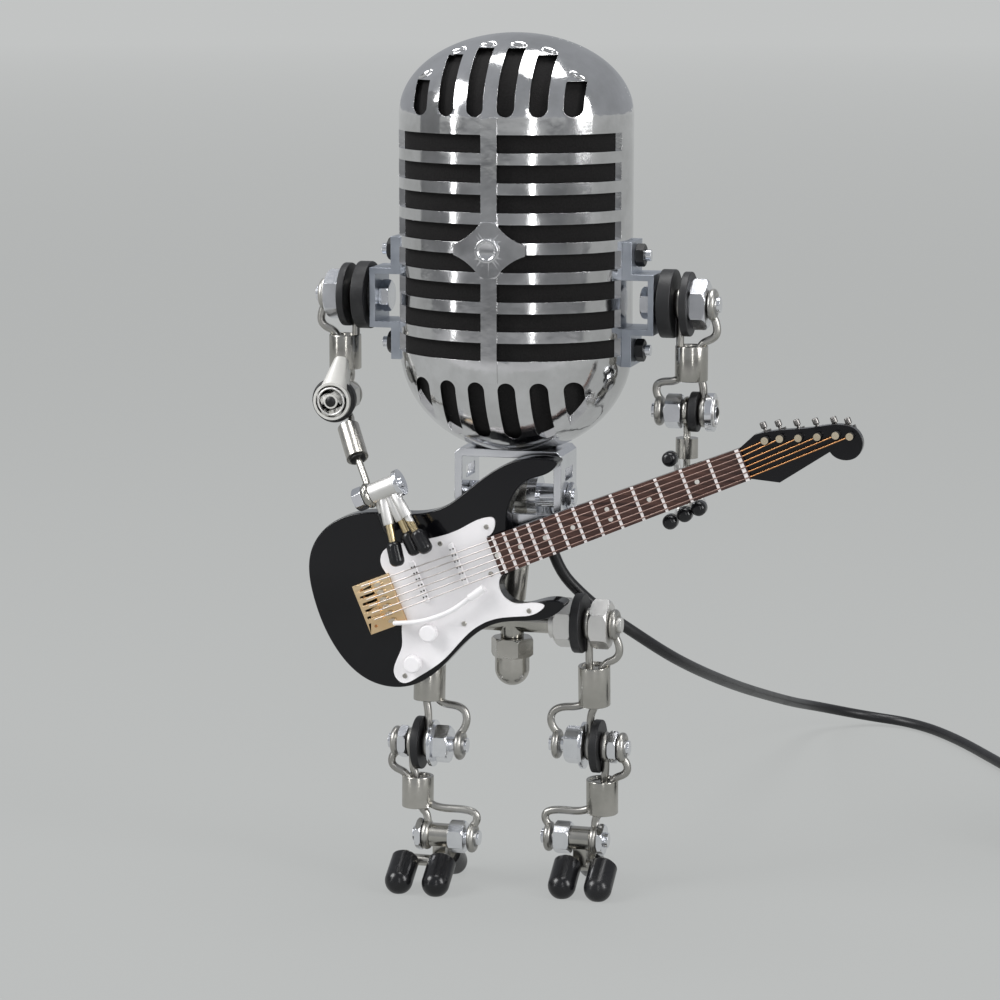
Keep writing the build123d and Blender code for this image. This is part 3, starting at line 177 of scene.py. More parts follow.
# After its name, each finish has its two colours, its roughness and how much its marks add to that.
print("finishes")
headChrome = metal("headChrome", rgb(0.58, 0.58, 0.58), rgb(0.76, 0.76, 0.77), 0.06, 0.08, dent=0.12)
brightChrome = metal("brightChrome", rgb(0.72, 0.73, 0.76), rgb(0.88, 0.89, 0.92), 0.12, 0.10)
satinSteel = metal("satinSteel", rgb(0.40, 0.39, 0.36), rgb(0.58, 0.56, 0.52), 0.17, 0.10,
                   fine=1500, dent=0.1)
wireSteel = metal("wireSteel", rgb(0.34, 0.33, 0.31), rgb(0.52, 0.51, 0.48), 0.27, 0.12,
                  fine=1600, dent=0.12)
goldPlate = metal("goldPlate", rgb(0.84, 0.60, 0.34), rgb(0.95, 0.76, 0.50), 0.3, 0.12)
brassRod = metal("brassRod", rgb(0.46, 0.36, 0.20), rgb(0.68, 0.57, 0.36), 0.20, 0.14)
bronzeString = metal("bronzeString", rgb(0.50, 0.24, 0.10), rgb(0.72, 0.38, 0.17), 0.28, 0.1)
darkString = metal("darkString", rgb(0.20, 0.13, 0.11), rgb(0.34, 0.24, 0.21), 0.35, 0.1)
plainString = metal("plainString", rgb(0.52, 0.48, 0.46), rgb(0.70, 0.66, 0.64), 0.35, 0.1)
zincPlate = metal("zincPlate", rgb(0.34, 0.37, 0.42), rgb(0.50, 0.53, 0.58), 0.26, 0.14, dent=0.1)
darkSteel = metal("darkSteel", rgb(0.16, 0.155, 0.15), rgb(0.28, 0.27, 0.26), 0.24, 0.14, fine=1500)
paleSteel = metal("paleSteel", rgb(0.74, 0.73, 0.71), rgb(0.86, 0.85, 0.83), 0.36, 0.12)
paleDisc = plastic("paleDisc", rgb(0.60, 0.59, 0.56), rgb(0.50, 0.49, 0.46), 0.28, 0.12, gloss=0.8)
saddleSteel = metal("saddleSteel", rgb(0.66, 0.56, 0.44), rgb(0.84, 0.74, 0.60), 0.22, 0.1)
creamGold = metal("creamGold", rgb(0.72, 0.60, 0.42), rgb(0.90, 0.80, 0.62), 0.2, 0.1)
blackBolt = metal("blackBolt", rgb(0.03, 0.03, 0.03), rgb(0.07, 0.07, 0.07), 0.3, 0.2)
blackRubber = rubber("blackRubber", rgb(0.012, 0.012, 0.013), rgb(0.05, 0.05, 0.05), 0.42)
tipRubber = rubber("tipRubber", rgb(0.007, 0.007, 0.008), rgb(0.022, 0.022, 0.024), 0.2, dent=0.08)
cordRubber = rubber("cordRubber", rgb(0.008, 0.008, 0.009), rgb(0.03, 0.03, 0.03), 0.34, dent=0.12)
glossBlack = plastic("glossBlack", rgb(0.002, 0.002, 0.003), rgb(0.004, 0.004, 0.005), 0.10, 0.05,
                     coat=0.12, gloss=0.3)
whiteGuard = plastic("whiteGuard", rgb(0.83, 0.81, 0.82), rgb(0.76, 0.74, 0.75), 0.30, 0.1, coat=0.2)
creamPlastic = plastic("creamPlastic", rgb(0.70, 0.68, 0.64), rgb(0.60, 0.58, 0.54), 0.32, 0.1, coat=0.1)
blackPlastic = plastic("blackPlastic", rgb(0.012, 0.012, 0.013), rgb(0.03, 0.03, 0.03), 0.42, 0.15)
boardGreen = plastic("boardGreen", rgb(0.02, 0.13, 0.05), rgb(0.05, 0.2, 0.08), 0.4, 0.2)
fretMetal = plastic("fretMetal", rgb(0.84, 0.79, 0.78), rgb(0.72, 0.67, 0.66), 0.3, 0.1)


def rosewood():
    # Dark wood with its grain along the neck.
    finish = Finish("rosewood", Specular_IOR_Level=0.4)
    along = finish.stretched(scale=(60, 900, 900), turn=(0, guitarTilt, 0))
    grain = finish.noise(scale=1.0, detail=6, vector=along, rough=0.65)
    pores = finish.noise(scale=2.6, detail=3, vector=along)
    streak = finish.spread(grain, low=0.35, high=0.68)
    finish.feed("Base Color", finish.mixed(streak, rgb(0.028, 0.012, 0.010), rgb(0.105, 0.048, 0.036)))
    finish.feed("Roughness", 0.38 + pores * 0.18)
    return finish.feed("Normal", finish.bump(pores, strength=0.35, distance=0.0001))


def grilleCloth():
    # Black woven cloth behind the head's slots.
    finish = Finish("grilleCloth", Roughness=0.9, Specular_IOR_Level=0.15)
    weave = finish.noise(scale=2600, detail=3)
    finish.feed("Base Color", finish.mixed(weave, rgb(0.004, 0.004, 0.004), rgb(0.016, 0.015, 0.015)))
    return finish.feed("Normal", finish.bump(weave, strength=0.5, distance=0.0002))


def frostedGlass():
    # The bulb's milky glass.
    finish = Finish("frostedGlass", Roughness=0.5, Subsurface_Weight=0.3)
    cloud = finish.noise(scale=40, detail=2)
    grain = finish.noise(scale=900, detail=2)
    finish.feed("Base Color", finish.mixed(cloud, rgb(0.80, 0.78, 0.72), rgb(0.86, 0.85, 0.80)))
    return finish.feed("Normal", finish.bump(grain, strength=0.1, distance=0.0001))


fretWood = rosewood()
linerCloth = grilleCloth()
bulbGlass = frostedGlass()


def addObject(name, data):
    made = bpy.data.objects.new(name, data)
    bpy.context.scene.collection.objects.link(made)
    return made


def meshFrom(name, shape):
    mesh = bpy.data.meshes.new(name)
    shape.to_mesh(mesh)
    shape.free()
    return mesh


# Pieces: a shape gets its finishes, its body and the CAD nodes that it stands for.
def shapePiece(name, shape, finishes, body, replaced=(), sharp=cornerAngle):
    mesh = meshFrom(name, shape)
    piece = addObject(name, mesh)
    for finish in finishes:
        mesh.materials.append(finish.material)
    for face in mesh.polygons:
        face.use_smooth = True
    mesh.set_sharp_from_angle(angle=math.radians(sharp))
    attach(piece, body)
    for node in replaced:
        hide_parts(node)
    return piece


def roundEdges(piece, width, segments):
    bevel = piece.modifiers.new("roundEdges", "BEVEL")
    bevel.width = width * mm
    bevel.segments = segments
    bevel.limit_method = "ANGLE"
    bevel.angle_limit = math.radians(cornerAngle)
    bevel.profile = 0.5
    bevel.miter_outer = "MITER_ARC"
    bevel.use_clamp_overlap = True
    normals = piece.modifiers.new("evenNormals", "WEIGHTED_NORMAL")
    normals.keep_sharp = False


def turnShape(shape, angle, axis, verts):
    bmesh.ops.rotate(shape, cent=(0, 0, 0), matrix=Matrix.Rotation(angle, 3, axis), verts=verts)


def cutShape(shape, place, direction, near=0.0, clear=False):
    whole = list(shape.verts) + list(shape.edges) + list(shape.faces)
    bmesh.ops.bisect_plane(shape, geom=whole, dist=near, plane_co=place, plane_no=direction,
                           clear_inner=clear)


def softenCorners(shape, width, segments, corner):
    # Rounds the edges whose faces turn by more than the corner's angle.
    edges = [edge for edge in shape.edges if edge.calc_face_angle(0) > math.radians(corner)]
    bmesh.ops.bevel(shape, geom=edges, offset=width * mm, segments=segments, profile=0.5, affect="EDGES",
                    material=-1, clamp_overlap=True)


def addCylinder(shape, radius, length, segments):
    made = bmesh.ops.create_cone(shape, cap_ends=True, segments=segments, radius1=radius * mm,
                                 radius2=radius * mm, depth=length)
    return made["verts"]


def layBetween(shape, start, end):
    # Lays a shape that was made upright at zero between two places.
    turn = (end - start).to_track_quat("Z", "Y").to_matrix().to_4x4()
    turn.translation = (start + end) / 2
    bmesh.ops.transform(shape, matrix=turn, verts=shape.verts)


def cadShape(node):
    # A merged copy of a CAD node, because its own mesh is loose triangles.
    shape = bmesh.new()
    shape.from_mesh(nodes[node].data)
    bmesh.ops.remove_doubles(shape, verts=shape.verts, dist=0.000002)
    bmesh.ops.dissolve_limit(shape, angle_limit=math.radians(0.6), verts=shape.verts, edges=shape.edges)
    return shape


def dressShape(node, shape, finishes, width, segments):
    # A piece in a CAD node's place, with its corners rounded where a width is given.
    piece = shapePiece("dressed_" + node, shape, finishes, bodyOf[node], [node])
    if width:
        roundEdges(piece, width, segments)
    return piece


def dress(node, finish, width, segments=2):
    return dressShape(node, cadShape(node), [finish], width, segments)


def centreOf(face):
    # A face's middle in the drawing's millimetres.
    return (face.calc_center_median() - zero) / mm


def solidsOf(shape):
    # The loose solids of a shape, each as its faces.
    left = set(shape.faces)
    solids = []
    while left:
        group = {left.pop()}
        edge = list(group)
        while edge:
            near = {other for face in edge for corner in face.verts for other in corner.link_faces} & left
            left -= near
            group |= near
            edge = list(near)
        solids.append(group)
    return solids


def dressMixed(node, finishes, choose, width, bySolid=False, cuts=()):
    # Like dress, with one of several finishes for each face or each solid, cut first where they meet.
    shape = cadShape(node)
    for place, direction in cuts:
        cutShape(shape, at(*place), direction, near=0.000001)
    if bySolid:
        for group in solidsOf(shape):
            middle = sum((centreOf(face) * face.calc_area() for face in group), Vector())
            middle /= sum(face.calc_area() for face in group)
            for face in group:
                face.material_index = choose(middle)
    else:
        for face in shape.faces:
            face.material_index = choose(centreOf(face))
    return dressShape(node, shape, finishes, width, 2)


# The number after a dressed piece's finish rounds its corners, in millimetres.
print("head")
dress("front_shell", headChrome, 0.8, 4)
dress("rear_shell", headChrome, 0.8, 4)
badgeSizes = {"place": (0, -27.6, 166.5), "radius": 2.9, "rise": 0.45, "seat": 0.3, "rim": 0.75,
              "step": 0.12, "sink": 0.35, "soft": 0.16}


def badgeCap(sizes):
    # A turned cap with a raised rim and a bare, slightly sunk face.
    shape = bmesh.new()
    deep = (sizes["rise"] + sizes["seat"]) * mm
    addCylinder(shape, sizes["radius"], deep, 64)
    front = [face for face in shape.faces if face.normal.z > 0.9]
    bmesh.ops.inset_region(shape, faces=front, thickness=sizes["rim"] * mm, depth=0)
    bmesh.ops.inset_region(shape, faces=front, thickness=sizes["step"] * mm, depth=-sizes["sink"] * mm)
    softenCorners(shape, sizes["soft"], 3, 40)
    turnShape(shape, quarterTurn, "X", shape.verts)
    place = at(*sizes["place"])
    place.y -= deep / 2 - sizes["seat"] * mm
    bmesh.ops.translate(shape, vec=place, verts=shape.verts)
    return shape


shapePiece("badge_cap", badgeCap(badgeSizes), [headChrome], "head", sharp=60)
bumpSizes = {"spots": [(3.85, 215.5), (11.55, 214.0), (19.25, 208.2)], "wide": 2.3, "tall": 1.0,
             "proud": 0.75, "lookFrom": 60}


def slotBumps(name, node, forward, sizes):
    # Small moulded swellings at the upper end of each dome slot, set on the shell's own surface.
    surface = cadShape(node)
    tree = BVHTree.FromBMesh(surface)
    surface.free()
    shape = bmesh.new()
    for across, height in sizes["spots"]:
        for side in (-1, 1):
            start = at(side * across, forward * sizes["lookFrom"], height)
            place, normal, _, _ = tree.ray_cast(start, Vector((0, -forward, 0)))
            made = bmesh.ops.create_uvsphere(shape, u_segments=24, v_segments=12, radius=mm)
            bmesh.ops.scale(shape, vec=(sizes["wide"], sizes["tall"], sizes["proud"]), verts=made["verts"])
            over = normal.cross(Vector((1, 0, 0))).normalized()
            turn = Matrix((over.cross(normal), over, normal)).transposed()
            bmesh.ops.rotate(shape, cent=(0, 0, 0), matrix=turn, verts=made["verts"])
            bmesh.ops.translate(shape, vec=place, verts=made["verts"])
    bmesh.ops.recalc_face_normals(shape, faces=shape.faces)
    return shapePiece(name, shape, [headChrome], "head", sharp=60)


slotBumps("front_slot_bumps", "front_shell", -1, bumpSizes)
slotBumps("rear_slot_bumps", "rear_shell", 1, bumpSizes)
dress("grille_liner", linerCloth, 0)
dress("yoke", brightChrome, 0.3)
dress("shoulder_brackets", zincPlate, 0.3)
nutsWithin = 31.5  # the bracket screws' nuts are nearer to the middle than this, their heads further out
dressMixed("bracket_screws", [blackBolt, brightChrome], lambda middle: abs(middle.x) < nutsWithin, 0.12,
           bySolid=True)
dress("shoulder_bolts", brightChrome, 0.2)
dress("shoulder_washers", blackRubber, 0.25)
dress("led_bulb", bulbGlass, 0)
dress("lamp_holder", blackPlastic, 0.2)
dress("dimmer_board", boardGreen, 0.1)

print("guitar")
# boardFrom and nut lie along the neck from the guitar's middle, and the depths are forward of the lamp's.
guitarSizes = {"middleX": -0.8, "middleZ": 89.8, "boardFrom": 2, "nut": 68.5, "board": -18.8, "fret": 0.02,
               "guard": -16.6, "deck": -17.8, "pickup": -17.5, "tunerKeys": -17.9}
studHeads = {"dot": 0.62, "screw": 0.75, "sink": 0.15, "crown": 0.72, "flat": 0.96}


def onGuitar(along, across, depth):
    return (guitarSizes["middleX"] + along * math.cos(guitarTilt) - across * math.sin(guitarTilt), depth,
            guitarSizes["middleZ"] + along * math.sin(guitarTilt) + across * math.cos(guitarTilt))


neckWay = (math.cos(guitarTilt), 0, math.sin(guitarTilt))


def alongNeck(point):
    return ((point.x - guitarSizes["middleX"]) * math.cos(guitarTilt)
            + (point.z - guitarSizes["middleZ"]) * math.sin(guitarTilt))


def stringPart(middle):
    # The strings' finish over the body, over the fretboard or past the nut.
    return sum(alongNeck(middle) > guitarSizes[limit] for limit in ("boardFrom", "nut"))


def studs(name, spots, depth, finish, proud, stretch=(1, 1), domed=True):
    # Small round heads that stand on the guitar's front, each narrower at its crown.
    shape = bmesh.new()
    sink = studHeads["sink"] * mm
    crown = studHeads["crown"] if domed else studHeads["flat"]
    for along, across, radius in spots:
        made = bmesh.ops.create_cone(shape, cap_ends=True, segments=24, radius1=radius * mm,
                                     radius2=radius * mm * crown, depth=proud * mm + sink)
        bmesh.ops.scale(shape, vec=(stretch[0], stretch[1], 1), verts=made["verts"])
        turnShape(shape, quarterTurn, "X", made["verts"])
        turnShape(shape, -guitarTilt, "Y", made["verts"])
        place = at(*onGuitar(along, across, depth))
        place.y -= (proud * mm - sink) / 2
        bmesh.ops.translate(shape, vec=place, verts=made["verts"])
    return shapePiece(name, shape, [finish], "head", sharp=50)


def sixAcross(rows):
    # A spot for each string, in rows given by their place along and across the neck, pitch and radius.
    return [(along, middle + (number - 2.5) * pitch, radius) for along, middle, pitch, radius in rows
            for number in range(6)]


dress("guitar_body", glossBlack, 0.2)
dress("guitar_neck", glossBlack, 0.25)
dressMixed("fretboard", [fretWood, fretMetal],
           lambda middle: middle.y < guitarSizes["board"] - guitarSizes["fret"], 0)
dress("pickguard", whiteGuard, 0.15)
dress("guitar_bridge", goldPlate, 0.12)
dress("pickups", whiteGuard, 0.25)
dress("knobs", whiteGuard, 0.5, 3)
dress("tremolo_arm", whiteGuard, 0.1)
dressMixed("tuners", [creamGold, darkSteel], lambda middle: middle.y > guitarSizes["tunerKeys"], 0.12)
dressMixed("strings", [plainString, darkString, bronzeString], stringPart, 0,
           cuts=[(onGuitar(guitarSizes[limit], 0, 0), neckWay) for limit in ("boardFrom", "nut")])
dress("guitar_bracket", brightChrome, 0.2)
fretDots = [(55.5, 0), (42.7, 0), (31.8, 1.3), (31.8, -1.3), (22.0, 0), (14.4, 0), (7.6, 0), (1.1, 0)]
guardScrews = [(0.5, 7.4), (-12.4, 7.5), (-2.9, -4.0), (2.8, -15.9), (-14.3, -13.4), (-34.1, -20.7)]
poleRows = [(-21.4, 0.4, 1.62, 0.28), (-20.6, 0.4, 1.62, 0.28), (-10.2, 1.2, 1.62, 0.28),
            (-9.4, 1.2, 1.62, 0.28)]
saddleRow = (-31.2, -1.4, 1.95, 0.72)
screwRow = (-35.9, -1.4, 1.95, 0.42)
studs("fret_dots", [(*spot, studHeads["dot"]) for spot in fretDots], guitarSizes["board"], creamPlastic,
      proud=0.04, domed=False)
studs("guard_screws", [(*spot, studHeads["screw"]) for spot in guardScrews], guitarSizes["guard"],
      satinSteel, proud=0.25)
studs("pickup_poles", sixAcross(poleRows), guitarSizes["pickup"], darkSteel, proud=0.1)
studs("bridge_saddles", sixAcross([saddleRow]), guitarSizes["deck"], saddleSteel, proud=0.7,
      stretch=(1.9, 1))
studs("bridge_screws", sixAcross([screwRow]), guitarSizes["deck"], bronzeString, proud=0.3)

print("torso")
dress("spine_tube", satinSteel, 0.2)
dress("neck_hardware", brightChrome, 0.15)
dress("hip_tee", satinSteel, 0.3)
dress("hip_hardware", paleSteel, 0.2)
dress("hip_rubber", blackRubber, 0.3)
dress("acorn_nut", satinSteel, 0.2)


def splineCurve(name, routes, radius, resolution=8, order=3, cyclic=False):
    curve = bpy.data.curves.new(name, "CURVE")
    curve.dimensions = "3D"
    curve.bevel_depth = radius * mm
    curve.bevel_resolution = 5
    curve.resolution_u = resolution
    curve.use_fill_caps = True
    for route in routes:
        spline = curve.splines.new("NURBS")
        spline.points.add(len(route) - 1)
        for point, place in zip(spline.points, route):
            point.co = (*at(*place), 1)
        spline.order_u = order
        spline.use_endpoint_u = not cyclic
        spline.use_cyclic_u = cyclic
    return curve


print("limbs")
wireSizes = {"wire": 1.0, "crimp": 4.1, "wall": 0.9, "step": 0.1, "mouth": 0.8, "edge": 0.27}
splineSlack = 1.045  # a closed spline cuts inside its control points, so they stand further out
# For each limb: its crimp's two ends, the wires' control points, and the eyes with their axis and radius.
limbWires = {
    "left_upper_arm": {
        "crimp": ((-44.9, 0, 141.8), (-44.9, 0, 133.0)),
        "runs": [[(-42.0, 0, 139.8), (-42.0, 0, 142.4), (-41.95, 0, 145.6), (-41.95, 0, 149.1)],
                 [(-46.6, 0, 139.8), (-46.9, 0, 142.3), (-51.3, 0, 144.0), (-51.2, 0, 147.6),
                  (-50.15, 0, 149.2)],
                 [(-44.6, -2.9, 135.0), (-44.9, -2.9, 132.6), (-45.1, -5.6, 131.2), (-45.6, -5.75, 128.4)],
                 [(-44.6, 2.9, 135.0), (-44.9, 2.9, 132.6), (-45.1, 6.2, 131.2), (-45.6, 5.25, 128.4)]],
        "eyes": [((-41.95, 0, 152), (1, 0, 0), 3.01), ((-50.15, 0, 152), (1, 0, 0), 3.01),
                 ((-46, -5.75, 125.6), (0, 1, 0), 2.81), ((-46, 5.25, 125.6), (0, 1, 0), 2.81)]},
    "right_upper_arm": {
        "crimp": ((44.9, 0, 141.8), (44.9, 0, 133.0)),
        "runs": [[(42.0, 0, 139.8), (42.0, 0, 142.4), (41.95, 0, 145.6), (41.95, 0, 149.1)],
                 [(46.6, 0, 139.8), (46.9, 0, 142.3), (51.3, 0, 144.0), (51.2, 0, 147.6),
                  (50.15, 0, 149.2)],
                 [(47.4, 0, 135.0), (47.6, 0, 132.7), (48.05, 0, 131.2), (48.05, 0, 128.1)],
                 [(42.4, 0, 135.0), (42.0, 0, 132.7), (36.4, 0, 132.6), (35.9, 0, 129.6),
                  (37.05, 0, 128.2)]],
        "eyes": [((41.95, 0, 152), (1, 0, 0), 3.01), ((50.15, 0, 152), (1, 0, 0), 3.01),
                 ((48.05, 0, 125.3), (1, 0, 0), 2.81), ((37.05, 0, 125.3), (1, 0, 0), 2.81)]},
    "left_thigh": {
        "crimp": ((-22.4, -1.04, 58.8), (-22.4, -1.99, 48.3)),
        "runs": [[(-20.95, -1.22, 56.8), (-20.95, -1.03, 58.9), (-20.95, -0.7, 62.5), (-20.95, -0.27, 67.3)],
                 [(-24.3, -1.22, 56.8), (-24.6, -1.03, 59.2), (-28.7, -0.8, 61.6), (-28.8, -0.4, 65.4),
                  (-27.65, -0.27, 67.3)],
                 [(-23.2, -1.81, 50.3), (-23.2, -2.0, 48.0), (-22.45, -2.3, 45.0), (-22.45, -2.74, 40.1)],
                 [(-20.6, -1.81, 50.3), (-20.4, -2.0, 47.6), (-12.9, -2.2, 47.2), (-11.9, -2.5, 42.6),
                  (-13.85, -2.74, 40.2)]],
        "eyes": [((-20.95, 0, 70.2), (1, 0, 0), 3.01), ((-27.65, 0, 70.2), (1, 0, 0), 3.01),
                 ((-22.45, -3, 37.2), (1, 0, 0), 2.91), ((-13.85, -3, 37.2), (1, 0, 0), 2.91)]},
    "right_thigh": {
        "crimp": ((20.4, 0.66, 59.3), (20.4, 1.29, 48.9)),
        "runs": [[(19.15, 0.78, 57.3), (19.15, 0.65, 59.4), (19.15, 0.5, 62.6), (19.15, 0.18, 67.3)],
                 [(22.2, 0.78, 57.3), (22.5, 0.65, 59.7), (26.9, 0.5, 61.6), (27.1, 0.3, 65.4),
                  (25.85, 0.18, 67.3)],
                 [(20.6, 1.17, 50.9), (20.6, 1.3, 48.6), (19.15, 1.48, 45.8), (19.15, 1.77, 41.0)],
                 [(18.6, 1.17, 50.9), (18.2, 1.3, 48.2), (9.8, 1.5, 47.8), (8.4, 1.6, 43.2),
                  (10.55, 1.77, 41.0)]],
        "eyes": [((19.15, 0, 70.2), (1, 0, 0), 3.01), ((25.85, 0, 70.2), (1, 0, 0), 3.01),
                 ((19.15, 1.95, 38), (1, 0, 0), 2.91), ((10.55, 1.95, 38), (1, 0, 0), 2.91)]},
    "left_shin": {
        "crimp": ((-25.1, -3.36, 28.6), (-25.1, -3.7, 20.4)),
        "runs": [[(-25.6, -3.44, 26.6), (-25.7, -3.35, 28.9), (-26.55, -3.3, 30.6), (-26.55, -3.12, 34.4)],
                 [(-27.4, -3.44, 26.6), (-27.8, -3.35, 28.9), (-32.1, -3.3, 30.4), (-32.2, -3.2, 33.4),
                  (-30.85, -3.12, 34.4)],
                 [(-24.4, -3.62, 22.4), (-24.2, -3.7, 20.0), (-22.35, -3.8, 18.6), (-22.35, -3.88, 16.2)],
                 [(-22.4, -3.62, 22.4), (-21.6, -3.7, 20.2), (-10.2, -3.76, 20.6), (-8.7, -3.8, 17.8),
                  (-10.35, -3.88, 16.2)]],
        "eyes": [((-26.55, -3, 37.2), (1, 0, 0), 2.91), ((-30.85, -3, 37.2), (1, 0, 0), 2.91),
                 ((-22.35, -4, 13.2), (1, 0, 0), 2.91), ((-10.35, -4, 13.2), (1, 0, 0), 2.91)]},
    "right_shin": {
        "crimp": ((22.3, 2.18, 29.4), (22.3, 2.41, 20.4)),
        "runs": [[(22.8, 2.23, 27.4), (22.8, 2.17, 29.7), (23.25, 2.1, 31.4), (23.25, 2.03, 35.2)],
                 [(24.6, 2.23, 27.4), (24.9, 2.17, 29.7), (28.9, 2.1, 31.2), (28.9, 2.05, 34.2),
                  (27.55, 2.03, 35.2)],
                 [(21.6, 2.36, 22.4), (21.5, 2.41, 20.0), (20.35, 2.46, 18.6), (20.35, 2.52, 16.2)],
                 [(19.6, 2.36, 22.4), (18.8, 2.41, 20.2), (8.2, 2.45, 20.6), (6.7, 2.48, 17.8),
                  (8.35, 2.52, 16.2)]],
        "eyes": [((23.25, 1.95, 38), (1, 0, 0), 2.91), ((27.55, 1.95, 38), (1, 0, 0), 2.91),
                 ((20.35, 2.6, 13.2), (1, 0, 0), 2.91), ((8.35, 2.6, 13.2), (1, 0, 0), 2.91)]},
}


def eyeRoute(middle, axis, radius, count):
    # Control points of a round eye or ring.
    axis = Vector(axis)
    across = axis.orthogonal().normalized()
    over = axis.cross(across)
    reach = radius * splineSlack
    route = []
    for number in range(count):
        angle = 2 * math.pi * number / count
        route.append(tuple(Vector(middle) + (across * math.cos(angle) + over * math.sin(angle)) * reach))
    return route


def meshOf(curve):
    # The curve's own mesh, taken once, so that wires are ordinary pieces.
    holder = addObject(curve.name, curve)
    bpy.context.view_layer.update()
    mesh = bpy.data.meshes.new_from_object(holder.evaluated_get(bpy.context.evaluated_depsgraph_get()))
    bpy.data.objects.remove(holder)
    bpy.data.curves.remove(curve)
    return mesh


def ringMesh(name, rings, wire, count=12):
    # Closed wire rings, each from its middle, axis and radius.
    routes = [eyeRoute(*ring, count) for ring in rings]
    return meshOf(splineCurve(name, routes, wire, resolution=6, order=4, cyclic=True))


def joinShapes(meshes):
    shape = bmesh.new()
    for mesh in meshes:
        shape.from_mesh(mesh)
        bpy.data.meshes.remove(mesh)
    bmesh.ops.recalc_face_normals(shape, faces=shape.faces)
    return shape


def crimpShape(start, end, sizes):
    # A drawn tube with soft edges and a shallow mouth at each end.
    start = at(*start)
    end = at(*end)
    shape = bmesh.new()
    addCylinder(shape, sizes["crimp"], (end - start).length, 64)
    caps = [face for face in shape.faces if len(face.verts) > 4]
    bmesh.ops.inset_region(shape, faces=caps, thickness=sizes["wall"] * mm, depth=0)
    bmesh.ops.inset_region(shape, faces=caps, thickness=sizes["step"] * mm, depth=-sizes["mouth"] * mm)
    softenCorners(shape, sizes["edge"], 3, 50)
    layBetween(shape, start, end)
    return shape


for limb, parts in limbWires.items():
    runs = meshOf(splineCurve(limb + "_runs", parts["runs"], wireSizes["wire"]))
    eyes = ringMesh(limb + "_eyes", parts["eyes"], wireSizes["wire"])
    shapePiece(limb + "_wires", joinShapes([runs, eyes]), [wireSteel], limb, [limb], 50)
    shapePiece(limb + "_crimp", crimpShape(*parts["crimp"], wireSizes), [satinSteel], limb, [limb],
               40)

rodsBelow = 98.5  # the hands are rods below this height and plates above it
for side in ("left", "right"):
    dress(side + "_elbow_hardware", paleDisc if side == "left" else brightChrome, 0.15)
    for joint in ("wrist", "knee", "ankle"):
        dress(side + "_" + joint + "_hardware", brightChrome, 0.15)
    for joint in ("elbow", "knee"):
        dress(side + "_" + joint + "_rubber", blackRubber, 0.25)
    dress(side + "_fingertips", tipRubber, 0)
    dress(side + "_toe_caps", tipRubber, 0.2)
    dress(side + "_foot", satinSteel, 0.15)
    dressMixed(side + "_hand", [paleSteel, brassRod if side == "left" else satinSteel],
               lambda middle: middle.z < rodsBelow, 0.1, cuts=[((0, 0, rodsBelow), (0, 0, 1))])
    dress(side + "_forearm", satinSteel, 0.1)

elbowStuds = {"left": ((-46, -8.75, 125.6), (0, -1, 0)), "right": ((51.1, 0, 125.3), (1, 0, 0))}
studSizes = {"radius": 1.6, "rise": 0.9, "rim": 3.3, "rimWire": 0.25}


def domedStud(place, way, sizes):
    # A black domed bolt head that stands in the middle of the elbow's disc.
    shape = bmesh.new()
    bmesh.ops.create_uvsphere(shape, u_segments=32, v_segments=16, radius=sizes["radius"] * mm)
    cutShape(shape, (0, 0, 0), (0, 0, 1), clear=True)
    bmesh.ops.holes_fill(shape, edges=shape.edges)
    bmesh.ops.scale(shape, vec=(1, 1, sizes["rise"] / sizes["radius"]), verts=shape.verts)
    turn = Vector(way).to_track_quat("Z", "Y").to_matrix()
    bmesh.ops.rotate(shape, cent=(0, 0, 0), matrix=turn, verts=shape.verts)
    bmesh.ops.translate(shape, vec=at(*place), verts=shape.verts)
    bmesh.ops.recalc_face_normals(shape, faces=shape.faces)
    return shape


for side, (place, way) in elbowStuds.items():
    arm = side + "_upper_arm"
    shapePiece(side + "_elbow_stud", domedStud(place, way, studSizes), [blackBolt], arm, sharp=60)
    rim = ringMesh(side + "_elbow_rim", [(place, way, studSizes["rim"])], studSizes["rimWire"], 16)
    shapePiece(side + "_elbow_rim", joinShapes([rim]), [paleSteel], arm, sharp=60)

armSizes = {"ring": ((-46, -6.4, 125.6), (0, 1, 0), 4.75), "ringWire": 0.8,
            "lugTop": ((-44.9, -2.8, 134.6), 2.1, 1.2), "lugEnd": ((-46, -8.1, 125.6), 4.1, 0.5),
            "sleeve": ((-46, -1.65, 125.6), (-32.6, -20, 104)), "darkFrom": 18.6, "darkTo": 20.1,
            "darkRadius": 2.05, "fingerFrom": 2.2, "fingerTo": 8.8, "fingerSleeve": 1.4, "pitch": 1.3,
            "root": 2.3, "palm": (-32.6, -20.0, 104.0), "palmWay": (0.912, 0, 0.41), "soft": 0.15}
fingerEnds = [(-28.2, -18.6, 97.4), (-25.0, -22.2, 90.0), (-21.3, -20.6, 92.6), (-18.0, -23.0, 93.6)]


def lugShape(sizes):
    # A flat plate that widens from the crimp to the elbow's disc.
    shape = bmesh.new()
    for middle, radius, half in (sizes["lugTop"], sizes["lugEnd"]):
        verts = addCylinder(shape, radius, 2 * half * mm, 32)
        turnShape(shape, quarterTurn, "X", verts)
        bmesh.ops.translate(shape, vec=at(*middle), verts=verts)
    hull = bmesh.ops.convex_hull(shape, input=shape.verts)
    inside = list(set(hull["geom_interior"] + hull["geom_unused"]))
    bmesh.ops.delete(shape, geom=inside, context="VERTS")
    return shape


def addRod(shape, start, end, radius):
    # A round rod between two places, with softened ends.
    part = bmesh.new()
    addCylinder(part, radius, (end - start).length, 32)
    softenCorners(part, armSizes["soft"], 2, 60)
    layBetween(part, start, end)
    mesh = meshFrom("rod", part)
    shape.from_mesh(mesh)
    bpy.data.meshes.remove(mesh)


